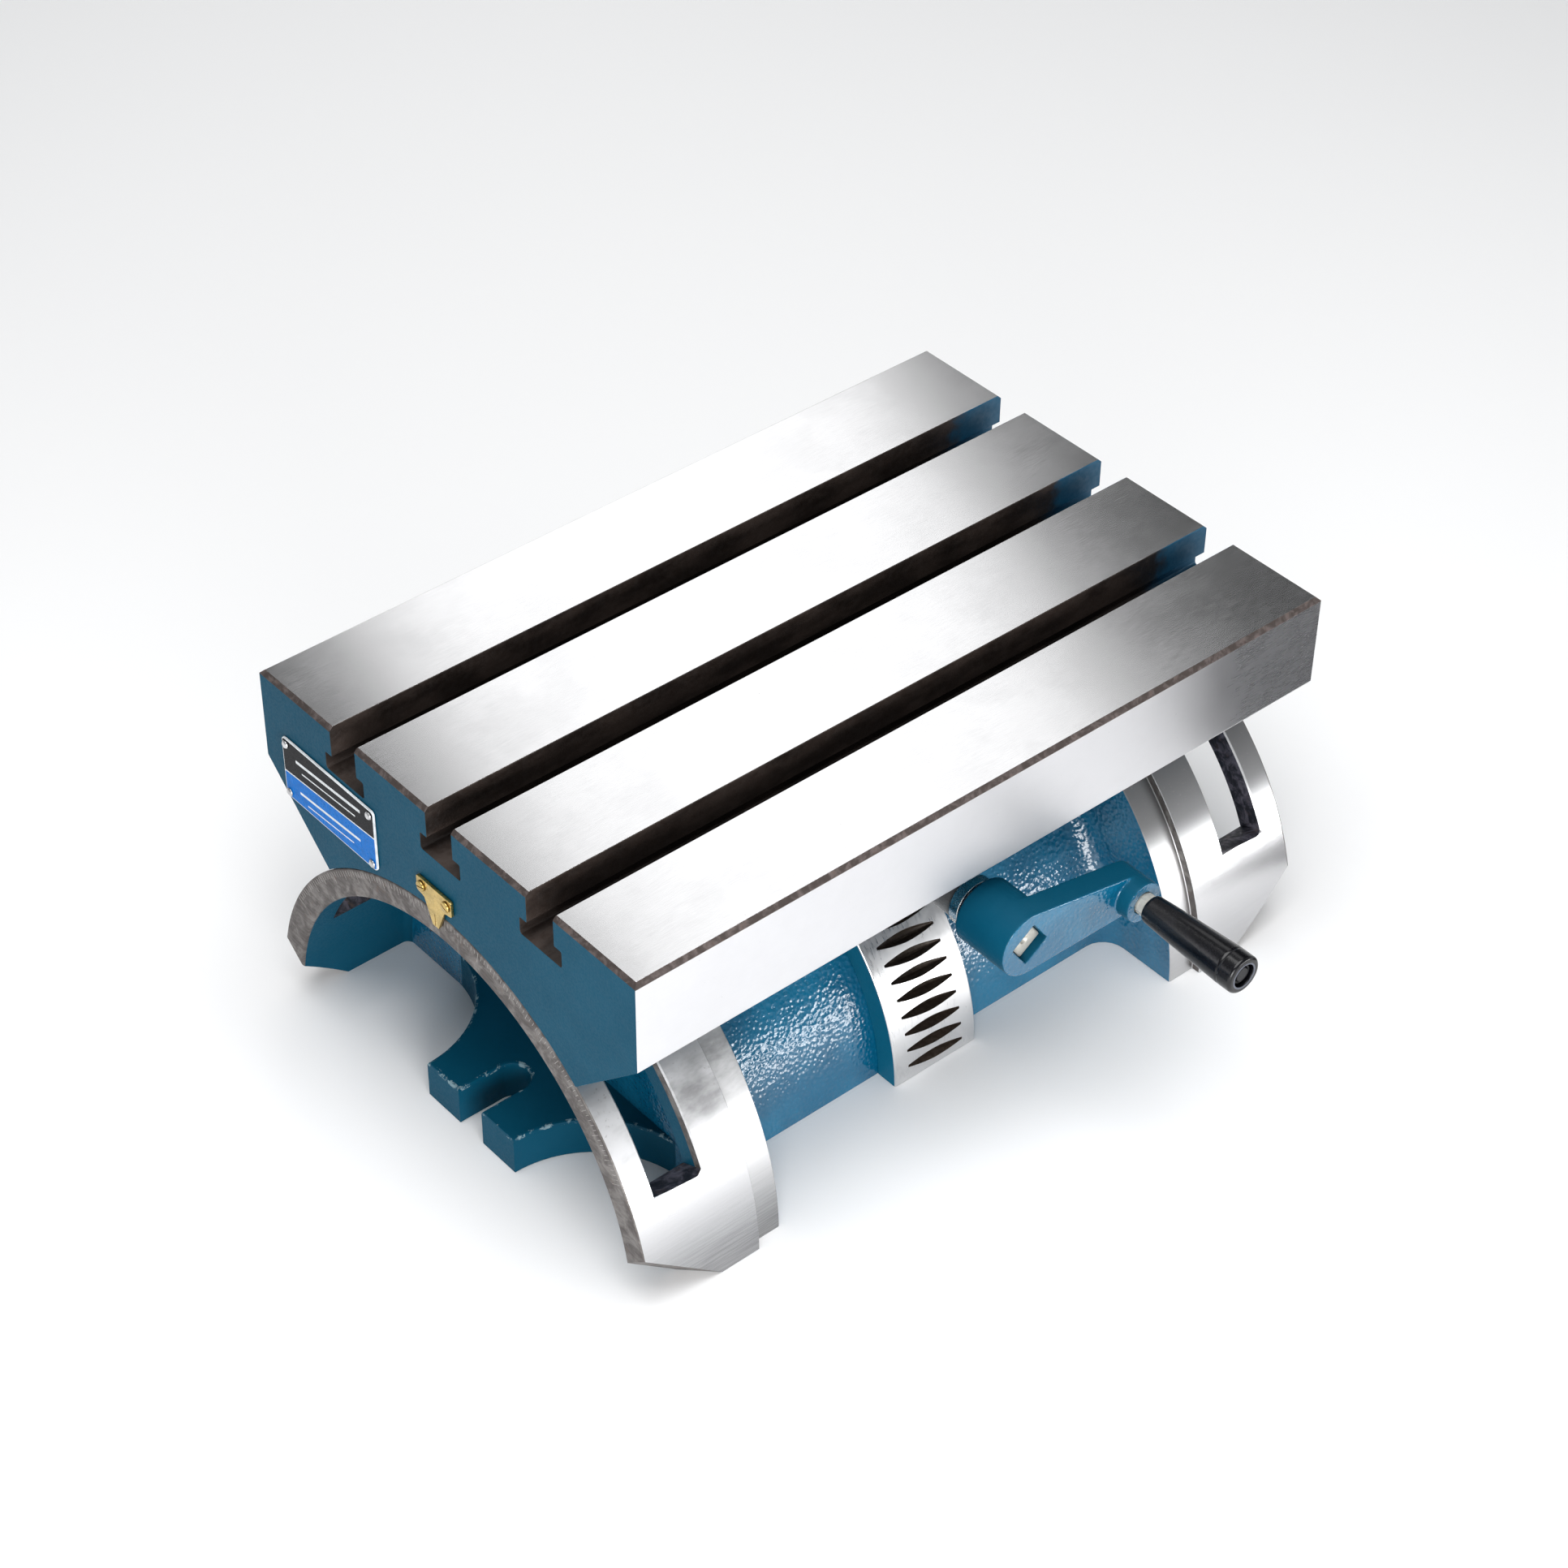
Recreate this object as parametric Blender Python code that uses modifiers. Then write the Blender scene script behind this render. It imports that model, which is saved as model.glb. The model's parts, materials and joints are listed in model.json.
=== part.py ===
"""Tilting T-slot table: saddles on a cylindrical base, worm and crank drive.

Frame: metres, +Z up. The T-slots run along X, the crank side faces -Y, and the origin is
the middle of the base's footprint. The dimensions below are in millimetres and degrees.
Angles round the tilt axis are measured from straight up, positive towards -Y.
"""

import math

import bmesh
import bpy
from mathutils import Matrix, Vector

MM = 0.001
GAP = 0.3                      # clearance between neighbouring pieces

# Table casting
TABLE_LENGTH = 381.0
TABLE_WIDTH = 254.0
TABLE_TOP_Z = 184.0
TABLE_SIDE_HEIGHT = 46.5
TABLE_EDGE_CHAMFER = 2.0
SADDLE_EDGE_Y = 86.0           # where the slanted underside meets the saddle
SLOT_PITCH = 66.7
SLOT_THROAT = 17.5
SLOT_WIDTH = 27.0
SLOT_THROAT_DEPTH = 15.5
SLOT_DEPTH = 24.0
POCKET = (112.0, 74.0, 148.0)  # half length, half width, ceiling height
SHAFT_WAY_HALF = 11.0          # half width of the way out for the worm shaft

# Base casting
AXIS_Z = -2.0                  # height of the tilt axis
ARCH_OUTER = 132.0
ARCH_INNER = 118.5
WALL_RADIUS = 127.5
WALL_INNER_X = 116.7
WALL_OUTER_X = 131.5
BARREL_RADIUS = 86.0
BARREL_BORE = 76.0
BARREL_FILLET = 12.0
RIB_HALF = 6.0
HOLLOW_END_X = 114.0
WINDOW_X = (152.8, 177.5)
WINDOW_ANGLE = 65.5
FOOT_THICKNESS = 20.0
FOOT_END_X = 184.0
FOOT_HALF_WIDTH = 31.0
FOOT_SLOT_HALF = 8.25
FOOT_SLOT_X = 161.0            # centre of the slot's round end
CORNER_CUT_NORMAL = (0.546, 0.557, -0.625)
CORNER_CUT_POINT = (172.0, 125.0, 11.2)

# Worm wheel ring and worm
WHEEL_TEETH = 72
WHEEL_RADIUS = 97.5
WHEEL_HALF_WIDTH = 24.0
WHEEL_PITCH_RADIUS = 94.5
WORM_Z = 109.0
WORM_TIP = 19.3
WORM_ROOT = 13.2
WORM_BORE = 9.8
WORM_END_Y = 37.0
WORM_TURNS = 6
WORM_THREAD_Y = 30.0           # where the threaded middle meets the plain ends
WORM_END_RADIUS = 12.5
LEAD = 2 * math.pi * WHEEL_PITCH_RADIUS / WHEEL_TEETH
GASH_LENGTH = 36.0
GASH_HALF_WIDTH = 2.4
GASH_FLOOR_HALF = 1.45
GASH_DEPTH = 7.0
GASH_SLANT = -4.15             # degrees, follows the worm's right-hand thread

# Worm shaft, its bearings and collars (distances from the table's middle along Y)
SHAFT_RADIUS = 9.5
SHAFT_BACK_Y = 67.0
WASHER_Y = (37.3, 39.3)
BUSH_FLANGE_Y = (39.6, 41.1)
BLOCK_Y = (41.4, 57.0)
BLOCK_HALF_WIDTH = 34.0
BLOCK_WEB_HALF = 18.0
BLOCK_THICKNESS = 10.0
BUSH_RADIUS = 13.5
BUSH_FLANGE_RADIUS = 16.5
WASHER_RADIUS = 15.0
COLLAR_Y = (-118.0, -112.5)
COLLAR_RADIUS = 11.8
SEAL_BACK_Y = -99.0
SEAL_RADIUS = 10.8
NUT_CORNER = 15.6              # from the middle of the hexagon to a corner
NUT_END_Y = 64.0
SQUARE_SIDE = 14.0
SQUARE_TURN = 35.0             # turn of the square about the shaft's axis

# Crank
HUB_Y = (-150.4, -121.0)
ARM_BACK_Y = -138.4
HUB_RADIUS = 15.7
BOSS_RADIUS = 10.0
BOSS_FRONT_Y = -157.5
CRANK_RADIUS = 60.4
CRANK_ANGLE = -6.2             # below +X when at rest
SHAFT_RECESS = 4.0
STUD_RADIUS = 3.5
STUD_THREAD_RADIUS = 5.0
STUD_NECK_CORNER = 5.6         # from the middle of the hexagon to a corner
GRIP_START_Y = -161.9
GRIP_LENGTH = 54.5
GRIP_RECESS = (5.6, 5.0)       # radius and depth
GRIP_NUT = (5.0, 3.1)          # radius and thickness

# Small screws: radius of the shank, its length, radius and height of the head
WHEEL_SCREW = (2.5, 18.0, 4.2, 4.0)
WHEEL_SCREW_X = 20.5
WHEEL_SCREW_ANGLE = 37.5
BLOCK_SCREW = (4.0, 18.5, 6.5, 8.0)
BLOCK_SCREW_X = 27.0
GRUB_RADIUS = 2.5
GRUB_REACH = (7.6, 15.0)       # from the shaft's axis
GRUB_Y = -129.0
PIN_RADIUS = 2.5
PIN_HALF_LENGTH = 12.2
PIN_Y = 33.5

# Clamp bolts through the arch slots
CLAMP_ANGLE = 16.0
CLAMP_RADIUS = 8.0
CLAMP_HEAD_HEIGHT = 10.0
CLAMP_WASHER = 6.0
CLAMP_TOP = 154.0              # distance of the bolt's tip from the tilt axis
CLAMP_HEAD_CORNER = 13.9       # from the middle of the hexagon to a corner
CLAMP_WASHER_HALF = 18.0

# End face fittings
PLATE_Y = (45.5, 112.0)
PLATE_Z = (125.5, 158.0)
PLATE_THICKNESS = 1.0
RIVET_INSET = 3.0
RIVET_HOLE = 1.3               # radius
POINTER_Y = 4.0
POINTER_THICKNESS = 1.5
POINTER_SCREW_Z = 141.0
POINTER_SCREW_Y = 8.5          # either side of the pointer's middle
POINTER_HOLE = 1.8             # radius

X_AXIS = Vector((1, 0, 0))
Y_AXIS = Vector((0, 1, 0))
Z_AXIS = Vector((0, 0, 1))


# ---------------------------------------------------------------- helpers

def new_collection(name):
    collection = bpy.data.collections.new(name)
    bpy.context.scene.collection.children.link(collection)
    return collection


def clear_scene():
    for obj in list(bpy.data.objects):
        bpy.data.objects.remove(obj, do_unlink=True)


def make_material(name, colour, roughness, metallic):
    material = bpy.data.materials.new(name)
    material.use_nodes = True
    shader = material.node_tree.nodes["Principled BSDF"]
    shader.inputs["Base Color"].default_value = (*colour, 1.0)
    shader.inputs["Roughness"].default_value = roughness
    shader.inputs["Metallic"].default_value = metallic
    return material


def at(x, y, z):
    """Placement without a turn, in millimetres."""
    return Matrix.Translation(Vector((x, y, z)) * MM)


def turned_about(axis, degrees):
    return Matrix.Rotation(math.radians(degrees), 4, axis)


def along(origin, direction):
    """Placement whose local +Z points along direction."""
    turn = Z_AXIS.rotation_difference(Vector(direction).normalized()).to_matrix().to_4x4()
    return at(*origin) @ turn


def round_axis(angle, x=0.0):
    """Placement on the tilt axis at x, turned so that local +Z points at angle."""
    return at(x, 0, AXIS_Z) @ turned_about("X", angle)


# Stands an outline drawn in Y and Z across the X axis
UPRIGHT = turned_about("Z", 90) @ turned_about("X", 90)


def arc(centre, radius, start, end, steps):
    """Points of a plane arc, angles in degrees."""
    points = []
    for step in range(steps + 1):
        angle = math.radians(start + (end - start) * step / steps)
        points.append((centre[0] + radius * math.cos(angle),
                       centre[1] + radius * math.sin(angle)))
    return points


def add_object(name, data, collection, matrix):
    obj = bpy.data.objects.new(name, data)
    collection.objects.link(obj)
    obj.matrix_world = matrix
    if collection is CUTTERS:
        obj.hide_render = True
        obj.display_type = "WIRE"
    return obj


def finish_mesh(bm, name):
    """Turns a bmesh in millimetres into a mesh in metres, smooth below 35 degrees."""
    bmesh.ops.scale(bm, vec=(MM, MM, MM), verts=bm.verts)
    bmesh.ops.recalc_face_normals(bm, faces=bm.faces)
    mesh = bpy.data.meshes.new(name)
    bm.to_mesh(mesh)
    bm.free()
    mesh.shade_smooth()
    mesh.set_sharp_from_angle(angle=math.radians(35))
    return mesh


def box(name, low, high, collection, matrix=Matrix()):
    bm = bmesh.new()
    bmesh.ops.create_cube(bm, size=1.0)
    low, high = Vector(low), Vector(high)
    bmesh.ops.scale(bm, vec=high - low, verts=bm.verts)
    bmesh.ops.translate(bm, vec=(high + low) / 2, verts=bm.verts)
    return add_object(name, finish_mesh(bm, name), collection, matrix)


def cylinder(name, radius, start, end, collection, matrix, segments=24, end_radius=None):
    """Cylinder or cone along the placement's Z, from start to end."""
    bm = bmesh.new()
    tip = radius if end_radius is None else end_radius
    bmesh.ops.create_cone(bm, cap_ends=True, segments=segments, radius1=radius,
                          radius2=tip, depth=end - start)
    bmesh.ops.translate(bm, vec=(0, 0, (start + end) / 2), verts=bm.verts)
    return add_object(name, finish_mesh(bm, name), collection, matrix)


def prism(name, outline, thickness, collection, matrix):
    """Flat outline in the placement's XY plane, thickness shared either side of it."""
    curve = bpy.data.curves.new(name + "_outline", "CURVE")
    curve.dimensions = "2D"
    curve.fill_mode = "BOTH"
    curve.extrude = thickness * MM / 2
    spline = curve.splines.new("POLY")
    spline.points.add(len(outline) - 1)
    for point, (u, v) in zip(spline.points, outline):
        point.co = (u * MM, v * MM, 0, 1)
    spline.use_cyclic_u = True
    flat = add_object(name + "_outline", curve, CUTTERS, matrix)
    bpy.context.view_layer.update()
    depsgraph = bpy.context.evaluated_depsgraph_get()
    source = bpy.data.meshes.new_from_object(flat.evaluated_get(depsgraph))
    bm = bmesh.new()
    bm.from_mesh(source)
    bmesh.ops.scale(bm, vec=(1 / MM, 1 / MM, 1 / MM), verts=bm.verts)
    bmesh.ops.remove_doubles(bm, verts=bm.verts, dist=0.001)
    bpy.data.objects.remove(flat, do_unlink=True)
    return add_object(name, finish_mesh(bm, name), collection, matrix)


def turned(name, profile, collection, matrix, steps=16):
    """Profile of (radius, height) turned about the placement's Z, outer side downwards."""
    bm = bmesh.new()
    verts = [bm.verts.new((radius, 0, height)) for radius, height in profile]
    for first, second in zip(verts, verts[1:]):
        bm.edges.new((first, second))
    bmesh.ops.remove_doubles(bm, verts=bm.verts, dist=0.001)
    obj = add_object(name, finish_mesh(bm, name), collection, matrix)
    screw = obj.modifiers.new("Turn", "SCREW")
    screw.axis = "Z"
    screw.steps = screw.render_steps = steps
    screw.use_merge_vertices = True
    screw.merge_threshold = 0.00001
    screw.use_smooth_shade = True
    return obj


def ring(name, outer, inner, low, high, collection, matrix, steps=16):
    """Plain ring along the placement's Z."""
    profile = [(outer, high), (outer, low), (inner, low), (inner, high), (outer, high)]
    return turned(name, profile, collection, matrix, steps)


def combine(obj, operand, operation):
    modifier = obj.modifiers.new(operand.name, "BOOLEAN")
    modifier.operation = operation
    modifier.object = operand
    modifier.solver = "EXACT"


def cut(obj, *operands):
    for operand in operands:
        combine(obj, operand, "DIFFERENCE")


def join(obj, *operands):
    for operand in operands:
        combine(obj, operand, "UNION")


def give(obj, look, pivot=None):
    """Gives a part its own material and hangs it on the empty of its joint."""
    if len(obj.modifiers) > 1:
        weld = obj.modifiers.new("Weld", "WELD")
        weld.merge_threshold = 0.00001
    colour, roughness, metallic = look
    obj.data.materials.append(make_material(obj.name, colour, roughness, metallic))
    if pivot is not None:
        obj.parent = pivot
        obj.matrix_parent_inverse = pivot.matrix_world.inverted()
    return obj


def make_pivot(name, origin, parent=None):
    pivot = bpy.data.objects.new(name, None)
    PARTS.objects.link(pivot)
    pivot.matrix_world = at(*origin)
    bpy.context.view_layer.update()
    if parent is not None:
        pivot.parent = parent
        pivot.matrix_parent_inverse = parent.matrix_world.inverted()
    bpy.context.view_layer.update()
    return pivot


# Looks as (colour, roughness, metallic)
BLUE_PAINT = ((0.016, 0.085, 0.15), 0.4, 0.0)
GROUND_STEEL = ((0.72, 0.72, 0.73), 0.25, 1.0)
BRIGHT_STEEL = ((0.62, 0.62, 0.62), 0.3, 1.0)
BLACK_STEEL = ((0.03, 0.03, 0.03), 0.45, 0.7)
BRONZE = ((0.5, 0.3, 0.12), 0.35, 1.0)
BRASS = ((0.6, 0.42, 0.13), 0.3, 1.0)
BLACK_PLASTIC = ((0.012, 0.012, 0.013), 0.35, 0.0)
PLATE_PAINT = ((0.02, 0.16, 0.5), 0.35, 0.2)


# ---------------------------------------------------------------- base

def end_section(side):
    """Half of the base's turned section, from the barrel out to one arch's end."""
    fillet_x = WALL_INNER_X - BARREL_FILLET
    fillet = arc((fillet_x, BARREL_RADIUS + BARREL_FILLET), BARREL_FILLET, -90, 0, 3)
    points = [(radius, side * x) for x, radius in fillet]
    points += [(WALL_RADIUS, side * WALL_INNER_X), (WALL_RADIUS, side * WALL_OUTER_X),
               (ARCH_OUTER, side * WALL_OUTER_X), (ARCH_OUTER, side * TABLE_LENGTH / 2),
               (ARCH_INNER, side * TABLE_LENGTH / 2), (ARCH_INNER, side * WALL_OUTER_X),
               (0, side * WALL_OUTER_X)]
    return points


def foot_outline():
    """Plan of the foot at +X, from inside the wall out to the slotted end."""
    flare = FOOT_END_X - WALL_OUTER_X
    centre_y = FOOT_HALF_WIDTH + flare
    upper = arc((FOOT_END_X, centre_y), flare, 180, 270, 12)
    lower = [(x, -y) for x, y in reversed(upper)]
    inside_x = WALL_OUTER_X - 8
    return [(inside_x, -centre_y), (inside_x, centre_y)] + upper + lower


def window_outline():
    """Sector of the arch slot, across the arch's wall, with the angle's zero at +Y."""
    start, end = 90 - WINDOW_ANGLE, 90 + WINDOW_ANGLE
    return (arc((0, 0), ARCH_OUTER + 10, start, end, 20)
            + arc((0, 0), ARCH_INNER - 10, end, start, 20))


def base_end_cutters(side):
    """Cutters of one end: arch window, foot slot, slanted corners, barrel hollow."""
    tag = "right" if side > 0 else "left"
    width = WINDOW_X[1] - WINDOW_X[0]
    middle = side * (WINDOW_X[0] + WINDOW_X[1]) / 2
    window = prism("window_" + tag, window_outline(), width, CUTTERS,
                   at(middle, 0, AXIS_Z) @ UPRIGHT)
    reach = 210.0
    slot_low, slot_high = sorted((side * FOOT_SLOT_X, side * reach))
    slot = box("foot_slot_" + tag, (slot_low, -FOOT_SLOT_HALF, -5),
               (slot_high, FOOT_SLOT_HALF, 40), CUTTERS)
    round_end = cylinder("foot_slot_end_" + tag, FOOT_SLOT_HALF, -5, 40, CUTTERS,
                         at(side * FOOT_SLOT_X, 0, 0))
    hollow = cylinder("hollow_" + tag, BARREL_BORE, RIB_HALF, HOLLOW_END_X, CUTTERS,
                      along((0, 0, AXIS_Z), (side, 0, 0)), segments=64)
    cutters = [window, slot, round_end, hollow]
    for across_side in (1, -1):
        normal = Vector(CORNER_CUT_NORMAL) * Vector((side, across_side, 1))
        x, y, z = CORNER_CUT_POINT
        placement = along((side * x, across_side * y, z), normal)
        name = "corner_%s_%s" % (tag, "back" if across_side > 0 else "front")
        cutters.append(box(name, (-60, -60, 0), (60, 60, 120), CUTTERS, placement))
    return cutters


def make_base_casting():
    section = list(reversed(end_section(1))) + end_section(-1)
    base = turned("base_casting", section, PARTS, along((0, 0, AXIS_Z), X_AXIS), steps=72)
    below = box("below_ground", (-250, -180, -180), (250, 180, 0), CUTTERS)
    cut(base, below)
    for side in (1, -1):
        placement = at(0, 0, FOOT_THICKNESS / 2) @ turned_about("Z", 0 if side > 0 else 180)
        foot = prism("foot_%d" % side, foot_outline(), FOOT_THICKNESS, CUTTERS, placement)
        join(base, foot)
        cut(base, *base_end_cutters(side))
    for index, (x, angle) in enumerate(WHEEL_SCREW_PLACES):
        cut(base, cylinder("barrel_hole_%d" % index, WHEEL_SCREW[0] + GAP, 60, 100, CUTTERS,
                           round_axis(angle, x), segments=16))
    return give(base, BLUE_PAINT)


def gash_cutter(angle):
    """Spindle-shaped cutter of one tooth space, lofted from trapezoid sections."""
    bm = bmesh.new()
    half = GASH_LENGTH / 2
    clear = 1.0
    rows = []
    for share in (-0.62, 0, 0.62):
        width = GASH_HALF_WIDTH * (1 - abs(share) ** 2.2)
        depth = GASH_DEPTH * (1 - share ** 2)
        floor = GASH_FLOOR_HALF * width / GASH_HALF_WIDTH
        top = width + (width - floor) * clear / depth
        section = [(-top, clear), (top, clear), (floor, -depth), (-floor, -depth)]
        rows.append([bm.verts.new((share * half, y, z)) for y, z in section])
    for first, second in zip(rows, rows[1:]):
        for corner in range(4):
            after = (corner + 1) % 4
            bm.faces.new((first[corner], first[after], second[after], second[corner]))
    for row, sign in ((rows[0], -1), (rows[-1], 1)):
        tip = bm.verts.new((sign * half, 0, clear / 2))
        for corner in range(4):
            bm.faces.new((row[corner], row[(corner + 1) % 4], tip))
    placement = (round_axis(angle) @ at(0, 0, WHEEL_RADIUS)
                 @ turned_about("Z", GASH_SLANT))
    name = "gash_%d" % round(angle)
    return add_object(name, finish_mesh(bm, name), CUTTERS, placement)


WHEEL_SCREW_PLACES = [(side * WHEEL_SCREW_X, turn * WHEEL_SCREW_ANGLE)
                      for side in (1, -1) for turn in (-1, 1)]


def make_wheel_ring():
    chamfer = 1.0
    half = WHEEL_HALF_WIDTH
    bore = BARREL_RADIUS + GAP
    section = [(WHEEL_RADIUS - chamfer, half), (WHEEL_RADIUS, half - chamfer),
               (WHEEL_RADIUS, chamfer - half), (WHEEL_RADIUS - chamfer, -half),
               (bore, -half), (bore, half), (WHEEL_RADIUS - chamfer, half)]
    wheel = turned("worm_wheel_ring", section, PARTS, along((0, 0, AXIS_Z), X_AXIS), steps=72)
    cut(wheel, box("below_wheel", (-40, -120, -120), (40, 120, 0), CUTTERS))
    pitch = 360 / WHEEL_TEETH
    for index in range(-17, 18):
        cut(wheel, gash_cutter(index * pitch))
    for index, (x, angle) in enumerate(WHEEL_SCREW_PLACES):
        cut(wheel, cylinder("wheel_hole_%d" % index, WHEEL_SCREW[0] + GAP, 80, 94, CUTTERS,
                            round_axis(angle, x), segments=16))
    return give(wheel, BRIGHT_STEEL)


def cap_screw(name, radius, length, head_radius, head_height, matrix):
    """Socket screw with its head below the placement's origin and its shank above."""
    socket = head_radius * 0.5
    profile = [(0, length), (radius, length), (radius, 0), (head_radius, 0),
               (head_radius, -head_height), (socket, -head_height),
               (socket, -head_height * 0.45), (0, -head_height * 0.45)]
    return turned(name, profile, PARTS, matrix, steps=12)


def make_wheel_screws():
    for index, (x, angle) in enumerate(WHEEL_SCREW_PLACES, 1):
        seat = BARREL_BORE - 1.0
        screw = cap_screw("wheel_screw_%d" % index, *WHEEL_SCREW,
                          round_axis(angle, x) @ at(0, 0, seat))
        give(screw, BLACK_STEEL)


# ---------------------------------------------------------------- table

def table_section():
    """Outline across the table with its slanted sides and the saddle, before slotting."""
    half = TABLE_WIDTH / 2
    chamfer = TABLE_EDGE_CHAMFER
    points = [(-half, TABLE_TOP_Z - chamfer), (-half + chamfer, TABLE_TOP_Z),
              (half - chamfer, TABLE_TOP_Z), (half, TABLE_TOP_Z - chamfer),
              (half, TABLE_TOP_Z - TABLE_SIDE_HEIGHT)]
    radius = ARCH_OUTER + GAP
    edge = math.degrees(math.asin(SADDLE_EDGE_Y / radius))
    points += arc((0, AXIS_Z), radius, 90 - edge, 90 + edge, 28)
    points.append((-half, TABLE_TOP_Z - TABLE_SIDE_HEIGHT))
    return points


def slot_cutters(centre):
    """Throat and undercut of one T-slot."""
    length = TABLE_LENGTH / 2 + 20
    throat, wide = SLOT_THROAT / 2, SLOT_WIDTH / 2
    shoulder, floor = TABLE_TOP_Z - SLOT_THROAT_DEPTH, TABLE_TOP_Z - SLOT_DEPTH
    return (box("throat_%d" % centre, (-length, centre - throat, floor + 2),
                (length, centre + throat, TABLE_TOP_Z + 20), CUTTERS),
            box("undercut_%d" % centre, (-length, centre - wide, floor),
                (length, centre + wide, shoulder), CUTTERS))


def end_chamfer(side):
    """Wedge that breaks the top edge of one end of the table."""
    placement = at(side * TABLE_LENGTH / 2, 0, TABLE_TOP_Z) @ turned_about("Y", side * 45)
    reach = TABLE_EDGE_CHAMFER / math.sqrt(2)
    return box("end_chamfer_%d" % side, (-20, -140, -reach), (20, 140, 20), CUTTERS, placement)


def make_table_casting(pivot):
    table = prism("table_casting", table_section(), TABLE_LENGTH, PARTS, UPRIGHT)
    for centre in (-SLOT_PITCH, 0, SLOT_PITCH):
        cut(table, *slot_cutters(centre))
    half_x, half_y, ceiling = POCKET
    cut(table, box("pocket", (-half_x, -half_y, 60), (half_x, half_y, ceiling), CUTTERS))
    way = SHAFT_WAY_HALF
    cut(table, box("shaft_slot", (-way, -130, 60), (way, -half_y + 5, WORM_Z), CUTTERS),
        cylinder("shaft_hole", way, half_y - 5, 130, CUTTERS, along((0, 0, WORM_Z), -Y_AXIS)))
    cut(table, end_chamfer(1), end_chamfer(-1))
    for name, x, angle in CLAMP_PLACES:
        cut(table, cylinder("tap_" + name, CLAMP_RADIUS + GAP, 120, CLAMP_TOP + 2, CUTTERS,
                            round_axis(angle, x)))
    for name, x, y in BLOCK_SCREW_PLACES:
        cut(table, cylinder("tap_" + name, BLOCK_SCREW[0] + GAP, ceiling - 2, ceiling + 10,
                            CUTTERS, at(x, y, 0), segments=20))
    for name, y, z in RIVET_PLACES:
        cut(table, face_hole("tap_" + name, RIVET_HOLE, y, z, 7))
    for name, y, z in POINTER_SCREW_PLACES:
        cut(table, face_hole("tap_" + name, POINTER_HOLE, y, z, 9))
    return give(table, BLUE_PAINT, pivot)


def face_hole(name, radius, y, z, depth):
    """Cutter for a small hole into the table's -X end face and the plates on it."""
    return cylinder(name, radius, -5, depth, CUTTERS,
                    along((-TABLE_LENGTH / 2, y, z), X_AXIS), segments=12)


# ---------------------------------------------------------------- clamps

CLAMP_X = sum(WINDOW_X) / 2
CLAMP_PLACES = [("clamp_bolt_%s_%s" % (end, row), side * CLAMP_X, angle)
                for end, side in (("left", -1), ("right", 1))
                for row, angle in (("front", CLAMP_ANGLE), ("back", -CLAMP_ANGLE))]


def make_clamp(name, x, angle, table_pivot):
    """Bolt with its head inside the arch, on a washer that fits the arch's bore."""
    placement = round_axis(angle, x)
    seat = ARCH_INNER - GAP - CLAMP_WASHER
    direction = placement.to_3x3() @ Z_AXIS
    centre = Vector((x, 0, AXIS_Z)) + direction * seat
    bolt_pivot = make_pivot(name + "_axis", centre, table_pivot)
    head_top = seat - GAP
    bolt = cylinder(name, CLAMP_HEAD_CORNER, head_top - CLAMP_HEAD_HEIGHT, head_top, PARTS,
                    placement, segments=6)
    join(bolt, cylinder("shank_" + name, CLAMP_RADIUS, head_top - 2, CLAMP_TOP, CUTTERS,
                        placement))
    give(bolt, BLACK_STEEL, bolt_pivot)
    half = CLAMP_WASHER_HALF
    washer = box(name.replace("bolt", "washer"), (-half, -half, seat),
                 (half, half, ARCH_INNER + 5), PARTS, placement)
    outside = ring("arch_bore_" + name, ARCH_INNER + 30, ARCH_INNER - GAP, -25, 25, CUTTERS,
                   along((x, 0, AXIS_Z), X_AXIS), steps=96)
    hole = cylinder("washer_hole_" + name, CLAMP_RADIUS + GAP, seat - 5, ARCH_INNER + 9,
                    CUTTERS, placement)
    cut(washer, outside, hole)
    give(washer, BLACK_STEEL, table_pivot)


# ---------------------------------------------------------------- worm drive

BLOCK_MIDDLE = sum(BLOCK_Y) / 2
BLOCK_SCREW_PLACES = [("block_screw_%s_%s" % (end, hand), side * BLOCK_SCREW_X,
                       sign * BLOCK_MIDDLE)
                      for end, sign in (("front", -1), ("back", 1))
                      for hand, side in (("left", -1), ("right", 1))]


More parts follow.
